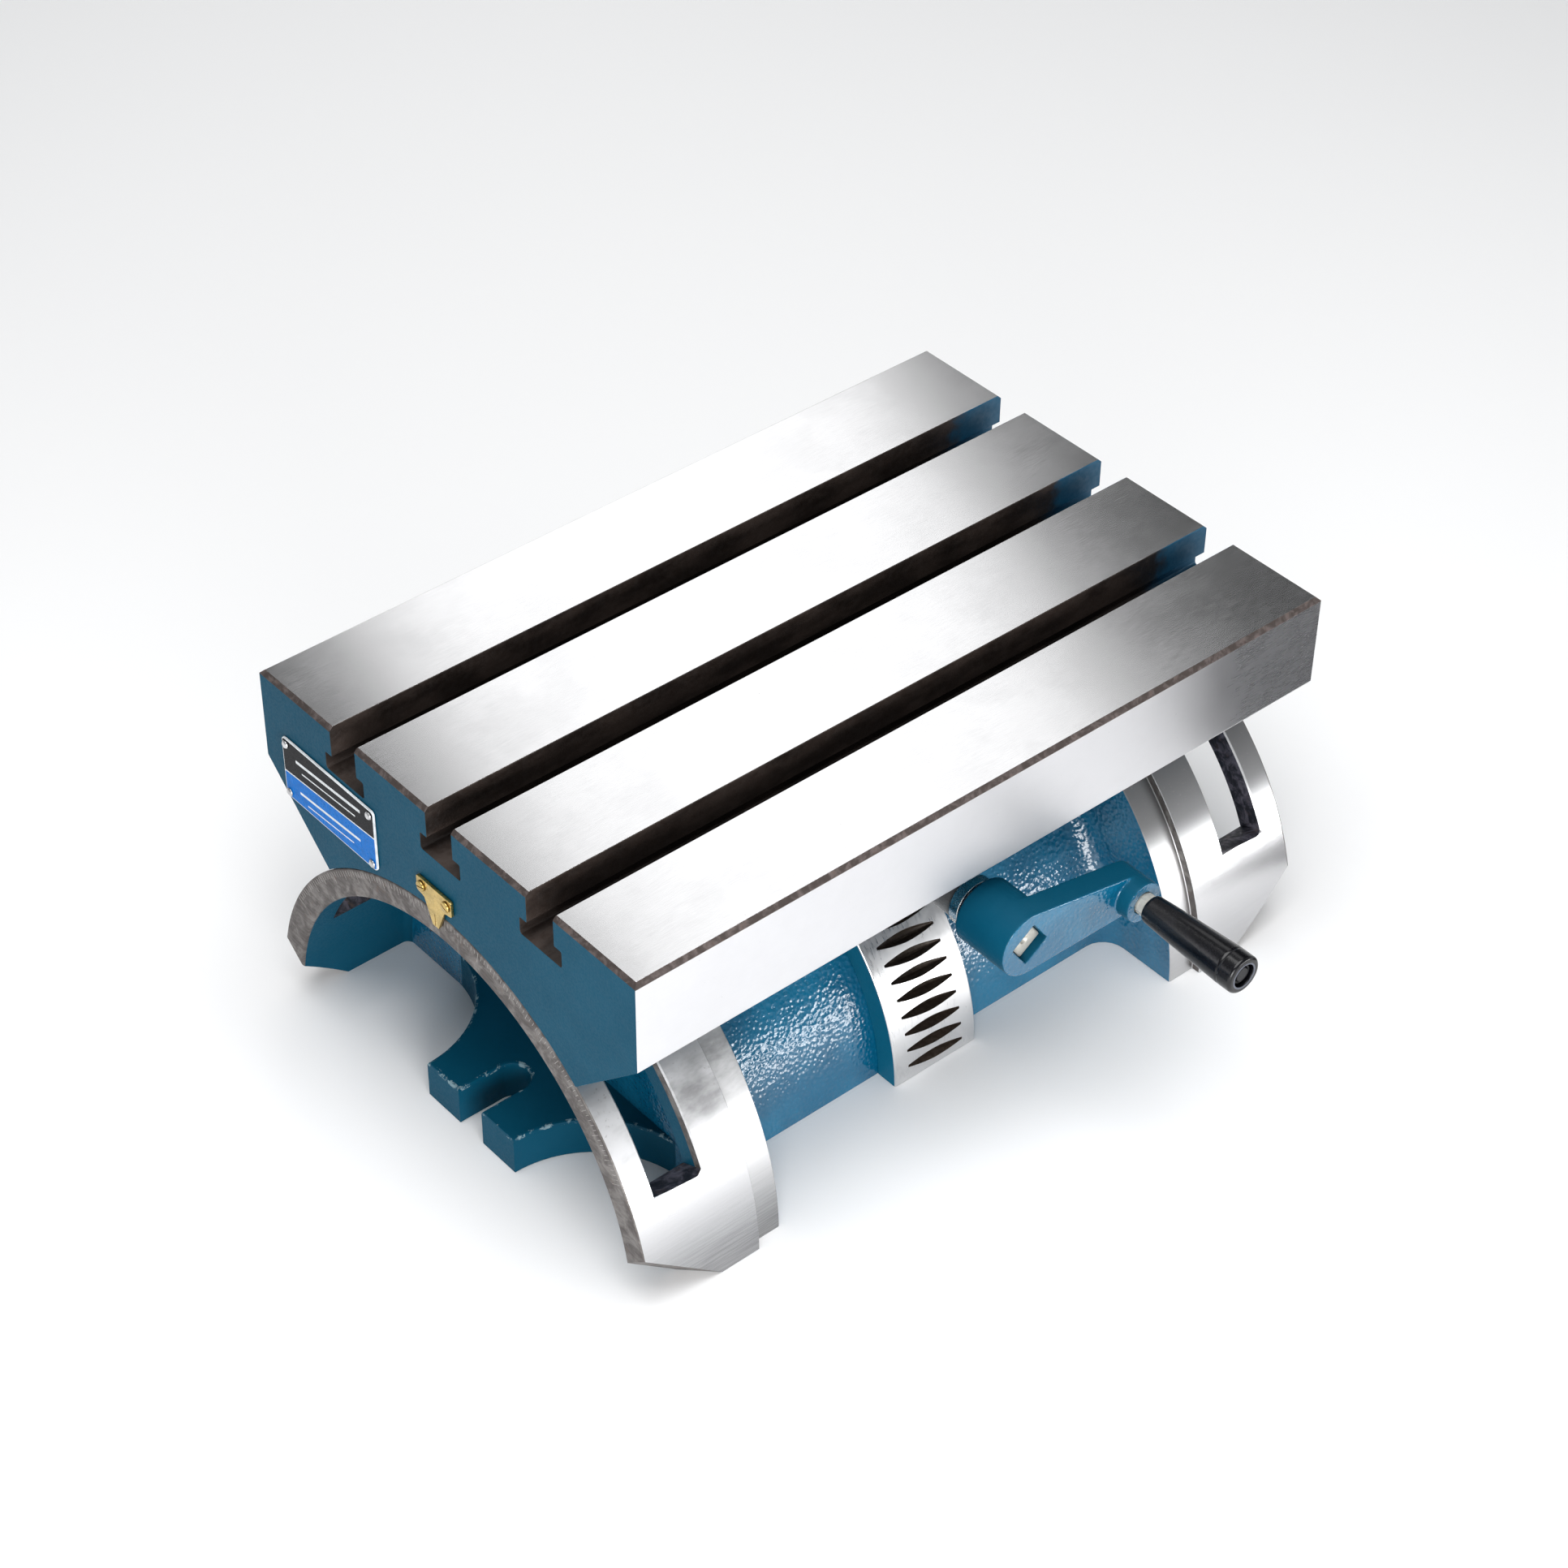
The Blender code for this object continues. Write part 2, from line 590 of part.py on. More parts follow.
def make_bearing(end, sign, pivot):
    """Bearing block under the table, its flanged bush and the thrust washer."""
    ceiling = POCKET[2] - GAP
    low_y, high_y = sorted((sign * BLOCK_Y[0], sign * BLOCK_Y[1]))
    wide, narrow = BLOCK_HALF_WIDTH, BLOCK_WEB_HALF
    block = box("bearing_block_" + end, (-wide, low_y, ceiling - BLOCK_THICKNESS),
                (wide, high_y, ceiling), PARTS)
    outward = along((0, 0, WORM_Z), Y_AXIS * sign)
    join(block, box("block_web_" + end, (-narrow, low_y, WORM_Z), (narrow, high_y, ceiling - 5),
                    CUTTERS),
         cylinder("block_round_" + end, narrow, BLOCK_Y[0], BLOCK_Y[1], CUTTERS, outward))
    cut(block, cylinder("block_bore_" + end, BUSH_RADIUS + GAP, 30, 80, CUTTERS, outward))
    for name, x, y in BLOCK_SCREW_PLACES:
        if y * sign > 0:
            cut(block, cylinder("hole_" + name, BLOCK_SCREW[0] + GAP, 120, 160, CUTTERS,
                                at(x, y, 0), segments=20))
    give(block, BLUE_PAINT, pivot)
    bore = SHAFT_RADIUS + GAP
    flange_low, flange_high = BUSH_FLANGE_Y
    bush = [(bore, BLOCK_Y[1]), (BUSH_RADIUS, BLOCK_Y[1]), (BUSH_RADIUS, flange_high),
            (BUSH_FLANGE_RADIUS, flange_high), (BUSH_FLANGE_RADIUS, flange_low),
            (bore, flange_low), (bore, BLOCK_Y[1])]
    give(turned("bush_" + end, bush, PARTS, outward), BRONZE, pivot)
    return ring("thrust_washer_" + end, WASHER_RADIUS, bore, *WASHER_Y, PARTS, outward)


def make_block_screws(pivot):
    seat = POCKET[2] - GAP - BLOCK_THICKNESS - GAP
    for name, x, y in BLOCK_SCREW_PLACES:
        give(cap_screw(name, *BLOCK_SCREW, at(x, y, seat)), BLACK_STEEL, pivot)


def make_worm(pivot):
    """Right-hand worm: a thread swept by a screw, joined to its core."""
    # The thread starts straight below the shaft, a whole number of leads from y = 0.
    basis = Matrix(((0, -1, 0), (0, 0, 1), (-1, 0, 0))).to_4x4()
    placement = at(0, 0, WORM_Z) @ basis
    sunk = WORM_ROOT - 1.0
    profile = [(sunk, 1.75), (WORM_TIP, 0.7), (WORM_TIP, -0.7), (sunk, -1.75), (sunk, 1.75)]
    start = -WORM_TURNS / 2 * LEAD
    sweep = turned("worm_sweep", [(r, start + h) for r, h in profile], CUTTERS, Matrix(),
                   steps=12)
    sweep.modifiers["Turn"].screw_offset = LEAD * MM
    sweep.modifiers["Turn"].iterations = WORM_TURNS
    sweep.modifiers["Turn"].use_merge_vertices = False
    bpy.context.view_layer.update()
    depsgraph = bpy.context.evaluated_depsgraph_get()
    swept = bpy.data.meshes.new_from_object(sweep.evaluated_get(depsgraph))
    bm = bmesh.new()
    bm.from_mesh(swept)
    bmesh.ops.scale(bm, vec=(1 / MM, 1 / MM, 1 / MM), verts=bm.verts)
    bmesh.ops.remove_doubles(bm, verts=bm.verts, dist=0.001)
    bmesh.ops.holes_fill(bm, edges=bm.edges, sides=4)
    bpy.data.objects.remove(sweep, do_unlink=True)
    thread = add_object("worm_thread", finish_mesh(bm, "worm_thread"), CUTTERS, placement)
    half_core = [(WORM_BORE, WORM_END_Y), (WORM_END_RADIUS, WORM_END_Y),
                 (WORM_END_RADIUS, WORM_THREAD_Y), (WORM_ROOT, WORM_THREAD_Y)]
    core = half_core + [(r, -h) for r, h in reversed(half_core)] + half_core[:1]
    # A small turn keeps the core's facet edges off the thread's.
    worm = turned("worm", core, PARTS, placement @ turned_about("Z", 5))
    join(worm, thread)
    cut(worm, cylinder("worm_pin_hole", PIN_RADIUS + GAP, -20, 20, CUTTERS, PIN_PLACE,
                       segments=16))
    give(worm, BRIGHT_STEEL, pivot)
    give(cylinder("worm_pin", PIN_RADIUS, -PIN_HALF_LENGTH, PIN_HALF_LENGTH, PARTS, PIN_PLACE,
                  segments=16), BRIGHT_STEEL, pivot)


PIN_PLACE = along((0, PIN_Y, WORM_Z), X_AXIS)


def make_worm_shaft(pivot):
    """Round shaft with a square, centre-drilled front end that drives the crank."""
    outward = along((0, 0, WORM_Z), -Y_AXIS)
    shoulder = -HUB_Y[1]
    profile = [(0, shoulder), (SHAFT_RADIUS, shoulder), (SHAFT_RADIUS, 1 - SHAFT_BACK_Y),
               (SHAFT_RADIUS - 1, -SHAFT_BACK_Y), (0, -SHAFT_BACK_Y)]
    shaft = turned("worm_shaft", profile, PARTS, outward, steps=32)
    half = SQUARE_SIDE / 2 - GAP
    tip = -HUB_Y[0] - SHAFT_RECESS
    square = box("shaft_square", (-half, -half, shoulder - 4), (half, half, tip), CUTTERS,
                 SQUARE_PLACE)
    join(shaft, square)
    cut(shaft, cylinder("centre_drill", 0.4, tip - 3, tip + 0.5, CUTTERS, outward,
                        segments=16, end_radius=1.9),
        cylinder("shaft_pin_hole", PIN_RADIUS + GAP, -20, 20, CUTTERS, PIN_PLACE,
                 segments=16))
    give(shaft, BRIGHT_STEEL, pivot)


SQUARE_PLACE = at(0, 0, WORM_Z) @ turned_about("Y", -SQUARE_TURN) @ turned_about("X", 90)


def make_shaft_collars(pivot):
    outward = along((0, 0, WORM_Z), -Y_AXIS)
    bore = SHAFT_RADIUS + GAP
    collar = ring("front_collar", COLLAR_RADIUS, bore, -COLLAR_Y[1], -COLLAR_Y[0], PARTS,
                  outward, steps=24)
    give(collar, BRIGHT_STEEL, pivot)
    seal = ring("felt_seal", SEAL_RADIUS, bore, -SEAL_BACK_Y, -COLLAR_Y[1] - GAP, PARTS, outward)
    give(seal, BLACK_STEEL, pivot)
    back = along((0, 0, WORM_Z), Y_AXIS)
    nut = cylinder("lock_nut", NUT_CORNER, BLOCK_Y[1] + GAP, NUT_END_Y, PARTS, back, segments=6)
    cut(nut, cylinder("lock_nut_bore", bore, 50, 80, CUTTERS, back))
    give(nut, BLACK_STEEL, pivot)


# ---------------------------------------------------------------- crank

GRIP_X = CRANK_RADIUS * math.cos(math.radians(CRANK_ANGLE))
GRIP_Z = WORM_Z + CRANK_RADIUS * math.sin(math.radians(CRANK_ANGLE))


def arm_outline():
    """Outline round the hub and the boss with two straight tangents, hub at the origin."""
    lean = math.degrees(math.acos((HUB_RADIUS - BOSS_RADIUS) / CRANK_RADIUS))
    return (arc((0, 0), HUB_RADIUS, lean, 360 - lean, 22)
            + arc((CRANK_RADIUS, 0), BOSS_RADIUS, -lean, lean, 10))


def make_crank_arm(pivot):
    front, back = -HUB_Y[0], -HUB_Y[1]
    outward = along((0, 0, WORM_Z), -Y_AXIS)
    facing = turned_about("Y", -CRANK_ANGLE) @ turned_about("X", 90)
    plate_middle = (-ARM_BACK_Y + front) / 2
    plate = prism("crank_arm", arm_outline(), front + ARM_BACK_Y, PARTS,
                  at(0, -plate_middle, WORM_Z) @ facing)
    hub = cylinder("crank_hub", HUB_RADIUS - 0.05, back, front - 1, CUTTERS, outward,
                   segments=32)
    boss_place = along((GRIP_X, 0, GRIP_Z), -Y_AXIS)
    boss = cylinder("crank_boss", BOSS_RADIUS - 0.05, front - 3, -BOSS_FRONT_Y, CUTTERS,
                    boss_place, segments=24)
    join(plate, hub, boss)
    half = SQUARE_SIDE / 2
    cut(plate, box("hub_square", (-half, -half, back - 5), (half, half, front + 5), CUTTERS,
                   SQUARE_PLACE),
        cylinder("stud_hole", STUD_THREAD_RADIUS + GAP, 120, 170, CUTTERS, boss_place,
                 segments=24),
        cylinder("grub_hole", GRUB_RADIUS + GAP, 5, 25, CUTTERS, GRUB_PLACE, segments=16))
    give(plate, BLUE_PAINT, pivot)
    give(cylinder("crank_grub_screw", GRUB_RADIUS, *GRUB_REACH, PARTS, GRUB_PLACE, segments=16),
         BLACK_STEEL, pivot)


GRUB_PLACE = at(0, GRUB_Y, WORM_Z) @ turned_about("Y", 180 - SQUARE_TURN)


def make_handle(arm_pivot, grip_pivot):
    """Stud screwed into the boss, the grip that turns on it and the nut that keeps it."""
    place = along((GRIP_X, 0, GRIP_Z), -Y_AXIS)
    neck_back, neck_front = -BOSS_FRONT_Y + GAP, -GRIP_START_Y - GAP
    recess_radius, recess_depth = GRIP_RECESS
    recess_floor = -GRIP_START_Y + GRIP_LENGTH - recess_depth
    stud = cylinder("handle_stud", STUD_NECK_CORNER, neck_back, neck_front, PARTS, place,
                    segments=6)
    join(stud, cylinder("stud_rod", STUD_RADIUS, neck_back + 1, recess_floor + 4.0, CUTTERS,
                        place, segments=24),
         cylinder("stud_thread", STUD_THREAD_RADIUS, -ARM_BACK_Y + 1, neck_back + 1, CUTTERS,
                  place, segments=24))
    give(stud, BRIGHT_STEEL, arm_pivot)
    bore = STUD_RADIUS + GAP
    outline = [(6.2, 0), (6.6, 1.2), (7.7, 18), (8.6, 36), (9.1, 46), (9.1, GRIP_LENGTH - 1.2),
               (8.3, GRIP_LENGTH), (recess_radius, GRIP_LENGTH),
               (recess_radius, GRIP_LENGTH - recess_depth),
               (bore, GRIP_LENGTH - recess_depth), (bore, 0)]
    profile = [(radius, height - GRIP_START_Y) for radius, height in reversed(outline)]
    grip = turned("handle_grip", profile + [profile[0]], PARTS, place, steps=24)
    give(grip, BLACK_PLASTIC, grip_pivot)
    nut_radius, nut_thickness = GRIP_NUT
    nut_back = recess_floor + GAP
    nut = ring("grip_nut", nut_radius, bore, nut_back, nut_back + nut_thickness, PARTS, place,
               steps=24)
    give(nut, BRIGHT_STEEL, arm_pivot)


# ---------------------------------------------------------------- end face fittings

RIVET_PLACES = [("nameplate_rivet_%d" % (2 * row + column + 1), y, z)
                for row, z in enumerate((PLATE_Z[0] + RIVET_INSET, PLATE_Z[1] - RIVET_INSET))
                for column, y in enumerate((PLATE_Y[0] + RIVET_INSET, PLATE_Y[1] - RIVET_INSET))]
POINTER_SCREW_PLACES = [("pointer_screw_%d" % (column + 1),
                         POINTER_Y + side * POINTER_SCREW_Y, POINTER_SCREW_Z)
                        for column, side in enumerate((-1, 1))]


def make_nameplate(pivot):
    back = TABLE_LENGTH / 2 + GAP
    front = back + PLATE_THICKNESS
    plate = box("nameplate", (-front, PLATE_Y[0], PLATE_Z[0]), (-back, PLATE_Y[1], PLATE_Z[1]),
                PARTS)
    for name, y, z in RIVET_PLACES:
        cut(plate, face_hole("plate_" + name, RIVET_HOLE, y, z, 7))
        place = along((-front - GAP, y, z), -X_AXIS)
        shank = RIVET_HOLE - GAP
        dome = [(0, 1.0), (1.3, 0.8), (2.1, 0), (shank, 0), (shank, -6), (0, -6)]
        give(turned(name, dome, PARTS, place, steps=8), BRIGHT_STEEL, pivot)
    give(plate, PLATE_PAINT, pivot)


def make_pointer(pivot):
    """T-shaped pointer whose tip hangs over the graduated rim of the arch."""
    outline = [(-12, 145), (-12, 137), (-7, 136), (-2, 124), (2, 124), (7, 136), (12, 137),
               (12, 145)]
    middle = TABLE_LENGTH / 2 + GAP + POINTER_THICKNESS / 2
    pointer = prism("index_pointer", outline, POINTER_THICKNESS, PARTS,
                    at(-middle, POINTER_Y, 0) @ UPRIGHT)
    for name, y, z in POINTER_SCREW_PLACES:
        cut(pointer, face_hole("pointer_" + name, POINTER_HOLE, y, z, 9))
        place = along((-middle - POINTER_THICKNESS / 2 - GAP, y, z), -X_AXIS)
        shank = POINTER_HOLE - GAP
        head = [(0, 0.9), (1.9, 0.9), (2.6, 0.3), (2.6, 0), (shank, 0), (shank, -8), (0, -8)]
        give(turned(name, head, PARTS, place, steps=10), BRASS, pivot)
    give(pointer, BRASS, pivot)


# ---------------------------------------------------------------- assembly

def main():
    make_base_casting()
    make_wheel_ring()
    make_wheel_screws()
    tilt = make_pivot("tilt_axis", (0, 0, AXIS_Z))
    make_table_casting(tilt)
    for name, x, angle in CLAMP_PLACES:
        make_clamp(name, x, angle, tilt)
    make_nameplate(tilt)
    make_pointer(tilt)
    crank = make_pivot("worm_axis", (0, 0, WORM_Z), tilt)
    for end, sign in (("front", -1), ("back", 1)):
        give(make_bearing(end, sign, tilt), BRONZE, crank)
    make_block_screws(tilt)
    make_worm(crank)
    make_worm_shaft(crank)
    make_shaft_collars(crank)
    make_crank_arm(crank)
    make_handle(crank, make_pivot("grip_axis", (GRIP_X, GRIP_START_Y, GRIP_Z), crank))


clear_scene()
PARTS = new_collection("tilting_table")
CUTTERS = new_collection("cutters")
main()
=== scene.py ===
import math

import bmesh
import bpy
from mathutils import Matrix, Vector
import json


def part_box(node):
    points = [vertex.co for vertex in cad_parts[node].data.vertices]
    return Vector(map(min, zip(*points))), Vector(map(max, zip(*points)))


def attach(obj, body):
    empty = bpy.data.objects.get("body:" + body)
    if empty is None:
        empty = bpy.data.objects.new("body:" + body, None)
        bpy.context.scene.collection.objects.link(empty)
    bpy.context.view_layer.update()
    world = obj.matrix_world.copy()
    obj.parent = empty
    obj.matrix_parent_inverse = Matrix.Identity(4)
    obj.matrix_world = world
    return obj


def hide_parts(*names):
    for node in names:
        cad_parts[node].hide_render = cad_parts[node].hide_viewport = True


# Looks of the tilting T-slot table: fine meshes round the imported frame, procedural finishes,
# the studio and the camera. Lengths are in millimetres and angles in degrees, but coordinates
# inside a finish, the lights and the camera are in metres, as the row frame is.

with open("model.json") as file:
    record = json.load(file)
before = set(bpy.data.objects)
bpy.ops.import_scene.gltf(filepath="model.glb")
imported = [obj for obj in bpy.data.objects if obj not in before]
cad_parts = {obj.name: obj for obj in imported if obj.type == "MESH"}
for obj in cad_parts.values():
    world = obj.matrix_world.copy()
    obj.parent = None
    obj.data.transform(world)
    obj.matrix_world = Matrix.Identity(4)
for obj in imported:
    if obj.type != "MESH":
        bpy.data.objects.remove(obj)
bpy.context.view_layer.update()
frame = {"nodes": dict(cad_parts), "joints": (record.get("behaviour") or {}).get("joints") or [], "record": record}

MM = 0.001
X_AXIS = Vector((1, 0, 0))
Y_AXIS = Vector((0, 1, 0))
Z_AXIS = Vector((0, 0, 1))


def span(node):
    """Lowest and highest corner of a CAD node, in millimetres."""
    low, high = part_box(node)
    return low / MM, high / MM


def pivot(joint_name):
    joint = next(j for j in frame["joints"] if j["name"] == joint_name)
    return Vector(joint["pos_m"]) / MM


# Strength of the studio's walls overhead and near the floor, and the middle of their dark
# patch, which the right end of the table's top mirrors towards the camera
WORLD_HIGH = 0.28
WORLD_LOW = 1.0
DARK_SIDE = (0.55, 0.56, 0.61)

# Places taken from the frame
AXIS_Z = pivot("table_tilt").z
WORM_Z = pivot("crank_spin").z
GRIP_X, _, GRIP_Z = pivot("grip_spin")
TABLE_HALF_X, TABLE_HALF_Y, TABLE_TOP = span("table_casting")[1]
ARCH_OUTER = span("base_casting")[1].z - AXIS_Z
WHEEL_RADIUS = span("worm_wheel_ring")[1].z - AXIS_Z
WHEEL_HALF = span("worm_wheel_ring")[1].x

# Sizes that the CAD model is built to
GAP = 0.3
SIDE_HEIGHT = 46.5
EDGE_BREAK = 2.0
SADDLE_EDGE_Y = 86.0
POCKET_HALF = (112, 74)
POCKET_CEILING = 148
SHAFT_WAY_HALF = 11
SLOT_PITCH = 66.7
SLOT_HALF = 8.75
SLOT_WIDE_HALF = 13.5
SLOT_SHOULDER = 15.5
SLOT_DEPTH = 24.0
ARCH_INNER = 118.5
WALL_RADIUS = 127.5
WALL_X = (116.7, 131.5)
BARREL_RADIUS = 86.0
BARREL_BORE = 76.0
BARREL_FILLET = 12.0
RIB_HALF = 6.0
HOLLOW_END_X = 114.0
WINDOW_X = (152.8, 177.5)
WINDOW_ANGLE = 65.5
FOOT_TOP = 20.0
FOOT_END_X = 184.0
FOOT_HALF_Y = 31.0
FOOT_SLOT_HALF = 8.25
FOOT_SLOT_X = 161.0
CORNER_CUT_NORMAL = (0.546, 0.557, -0.625)
CORNER_CUT_POINT = (172.0, 125.0, 11.2)
WHEEL_PITCH = 5.0
WORM_TIP = 19.3
WORM_ROOT = 13.2
WORM_BORE = 9.8
WORM_LEAD = math.tau * 94.5 / 72
SHAFT_RADIUS = 9.5
SHAFT_BORE = 9.8
SQUARE_START = 121.0
SQUARE_HALF = 6.7
SQUARE_TURN = 35.0
GRUB_Y = -129.0
CLAMP_ANGLE = 16.0
CLAMP_SEAT = ARCH_INNER - 6.3
NECK_Y = (-161.6, -157.8)
BLOCK_SCREW_HEAD = 8.0
WHEEL_SCREWS = ((20.5, -37.5), (20.5, 37.5), (-20.5, -37.5), (-20.5, 37.5))

# Details of the looks only
BASE_STEPS = 256
WHEEL_STEPS = 288
MARK_RANGE = 60
MARK_LENGTHS = ((10, 5.5), (5, 4.2), (1, 2.6))
MARK_PROUD = 0.04
GASH_HALF = 18.0
GASH_WIDTH = 2.75
GASH_DEPTH = 6.8
GASH_SLANT = -4.15
OVERSPRAY = 24.0
SIDES = (1, -1)


# ---- mesh helpers

def at(x, y, z):
    return Matrix.Translation((x, y, z))


def spin(angle, axis):
    return Matrix.Rotation(math.radians(angle), 4, axis)


def along(origin, direction):
    """Placement whose local +Z points along direction."""
    return at(*origin) @ Z_AXIS.rotation_difference(Vector(direction)).to_matrix().to_4x4()


def round_axis(angle, x=0.0):
    """Placement on the tilt axis at x, turned so that local +Z points at angle."""
    return at(x, 0, AXIS_Z) @ spin(angle, "X")


# Placement that stands an outline drawn in Y and Z across the X axis
UPRIGHT = Matrix(((0, 0, 1, 0), (1, 0, 0, 0), (0, 1, 0, 0), (0, 0, 0, 1)))

# Placement on the tilt axis, with local +Z along it
TILT_AXIS = along((0, 0, AXIS_Z), X_AXIS)

# Placement of the crank's square, its local +Z towards the crank side
SQUARE_PLACE = at(0, 0, WORM_Z) @ spin(-SQUARE_TURN, "Y") @ spin(90, "X")


def arc(centre, radius, start, end, steps):
    """Points of a plane arc, angles in degrees."""
    return [(centre[0] + radius * math.cos(math.radians(start + (end - start) * i / steps)),
             centre[1] + radius * math.sin(math.radians(start + (end - start) * i / steps)))
            for i in range(steps + 1)]


def rounded(corners, steps=4):
    """Closed outline through (u, v, radius) corners, each rounded by its radius."""
    points = []
    for index, (u, v, radius) in enumerate(corners):
        here = Vector((u, v))
        before = (Vector(corners[index - 1][:2]) - here).normalized()
        after = (Vector(corners[(index + 1) % len(corners)][:2]) - here).normalized()
        if not radius:
            points.append((u, v))
            continue
        half = before.angle(after) / 2
        centre = here + (before + after).normalized() * (radius / math.sin(half))
        start = here + before * (radius / math.tan(half)) - centre
        end = here + after * (radius / math.tan(half)) - centre
        first = math.degrees(math.atan2(start.y, start.x))
        turn = (math.degrees(math.atan2(end.y, end.x)) - first + 180) % 360 - 180
        points += arc(centre, radius, first, first + turn, steps)
    return points


def rectangle(u0, v0, u1, v1, radius=0):
    """Corners of a rectangle, all rounded by radius."""
    return [(u0, v0, radius), (u1, v0, radius), (u1, v1, radius), (u0, v1, radius)]


def inset(outline, amount):
    """Closed outline moved inwards by amount, with mitred corners."""
    if not amount:
        return list(outline)
    points = [Vector(p) for p in outline]
    count = len(points)
    area = sum(points[i - 1].x * points[i].y - points[i].x * points[i - 1].y for i in range(count))
    inward = 1 if area > 0 else -1
    moved = []
    for index, point in enumerate(points):
        before = (point - points[index - 1]).normalized()
        after = (points[(index + 1) % count] - point).normalized()
        normal = Vector((-before.y - after.y, before.x + after.x)).normalized() * inward
        lean = Vector((-before.y, before.x)).dot(normal) * inward
        moved.append(point + normal * (amount / max(lean, 0.3)))
    return [(p.x, p.y) for p in moved]


def loft(sections, matrix=Matrix(), closed=False):
    """Skin through equal sections of points, with an n-gon on each end unless closed."""
    bm = bmesh.new()
    rings = [[bm.verts.new(matrix @ Vector(p)) for p in section] for section in sections]
    count = len(rings[0])
    pairs = list(zip(rings, rings[1:])) + ([(rings[-1], rings[0])] if closed else [])
    for first, second in pairs:
        for i in range(count):
            after = (i + 1) % count
            bm.faces.new((first[i], first[after], second[after], second[i]))
    if not closed:
        bm.faces.new(rings[0])
        bm.faces.new(rings[-1])
    return bm


def layered(outline, levels, matrix=Matrix()):
    """Prism of an outline through (height, inset) levels."""
    return loft([[(u, v, height) for u, v in inset(outline, amount)]
                 for height, amount in levels], matrix)


def slab(outline, low, high, edge, matrix=Matrix(), low_edge=None):
    """Prism from low to high whose rims are rounded by edge."""
    share = 1 - math.cos(math.radians(45))
    low_edge = edge if low_edge is None else low_edge
    levels = []
    if low_edge:
        levels += [(low, low_edge), (low + low_edge * share, low_edge * share)]
    levels += [(low + low_edge, 0), (high - edge, 0)]
    if edge:
        levels += [(high - edge * share, edge * share), (high, edge)]
    return layered(outline, levels, matrix)


def lathe(profile, steps, matrix=Matrix()):
    """Closed outline of (radius, height) turned about the placement's Z."""
    bm = bmesh.new()
    rings = []
    for radius, height in profile:
        if radius < 1e-4:
            rings.append([bm.verts.new((0, 0, height))] * steps)
            continue
        turn = [math.tau * step / steps for step in range(steps)]
        rings.append([bm.verts.new((radius * math.cos(a), radius * math.sin(a), height)) for a in turn])
    for first, second in zip(rings, rings[1:] + rings[:1]):
        for step in range(steps):
            after = (step + 1) % steps
            corners = dict.fromkeys((first[step], first[after], second[after], second[step]))
            if len(corners) > 2:
                bm.faces.new(list(corners))
    bmesh.ops.transform(bm, matrix=matrix, verts=bm.verts)
    return bm


def block(low, high, matrix=Matrix()):
    """Plain box for cutting with."""
    (x0, y0, z0), (x1, y1, z1) = low, high
    return loft([[(x0, y0, z), (x1, y0, z), (x1, y1, z), (x0, y1, z)] for z in (z0, z1)], matrix)


def merge(*parts):
    """One bmesh of several, left as separate shells."""
    bm = bmesh.new()
    for part in parts:
        spare = bpy.data.meshes.new("spare")
        part.to_mesh(spare)
        part.free()
        bm.from_mesh(spare)
        bpy.data.meshes.remove(spare)
    return bm


def make_object(name, bm):
    """Object in the scene from a bmesh in millimetres."""
    bmesh.ops.recalc_face_normals(bm, faces=bm.faces)
    bmesh.ops.scale(bm, vec=(MM, MM, MM), verts=bm.verts)
    mesh = bpy.data.meshes.new(name)
    bm.to_mesh(mesh)
    bm.free()
    obj = bpy.data.objects.new(name, mesh)
    bpy.context.scene.collection.objects.link(obj)
    return obj


def apply_modifiers(obj):
    """Swaps an object's mesh for its evaluated one."""
    bpy.context.view_layer.update()
    depsgraph = bpy.context.evaluated_depsgraph_get()
    mesh = bpy.data.meshes.new_from_object(obj.evaluated_get(depsgraph))
    old = obj.data
    obj.modifiers.clear()
    obj.data = mesh
    bpy.data.meshes.remove(old)


def shape(obj, operation, *tools):
    """Joins bmeshes to an object or cuts them out of it."""
    operands = [make_object(obj.name + "_tool", tool) for tool in tools]
    for operand in operands:
        modifier = obj.modifiers.new(operand.name, "BOOLEAN")
        modifier.operation = operation
        modifier.solver = "EXACT"
        modifier.object = operand
    apply_modifiers(obj)
    for operand in operands:
        mesh = operand.data
        bpy.data.objects.remove(operand, do_unlink=True)
        bpy.data.meshes.remove(mesh)


def tidy_mesh(obj):
    """Welds what the cutting left a hair apart and drops faces with no area."""
    bm = bmesh.new()
    bm.from_mesh(obj.data)
    bmesh.ops.remove_doubles(bm, verts=bm.verts, dist=2e-6)
    bmesh.ops.dissolve_degenerate(bm, edges=bm.edges, dist=2e-6)
    bm.to_mesh(obj.data)
    bm.free()


def finish_piece(obj, body, looks, nodes=(), rule=None, sharp=32):
    """Shades a piece, gives its faces the looks their rule picks and ties it to the frame."""
    obj.data.materials.clear()
    for look in looks:
        obj.data.materials.append(look)
    for polygon in obj.data.polygons:
        look = rule(polygon.center / MM, polygon.normal) if rule else looks[0]
        polygon.material_index = looks.index(look)
    obj.data.shade_smooth()
    obj.data.set_sharp_from_angle(angle=math.radians(sharp))
    weighted = obj.modifiers.new("Even shading", "WEIGHTED_NORMAL")
    weighted.keep_sharp = True
    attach(obj, body)
    if nodes:
        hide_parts(*nodes)
    return obj


def make_piece(name, bm, body, look, nodes=(), sharp=32):
    return finish_piece(make_object(name, bm), body, [look], nodes, sharp=sharp)


# ---- finishes

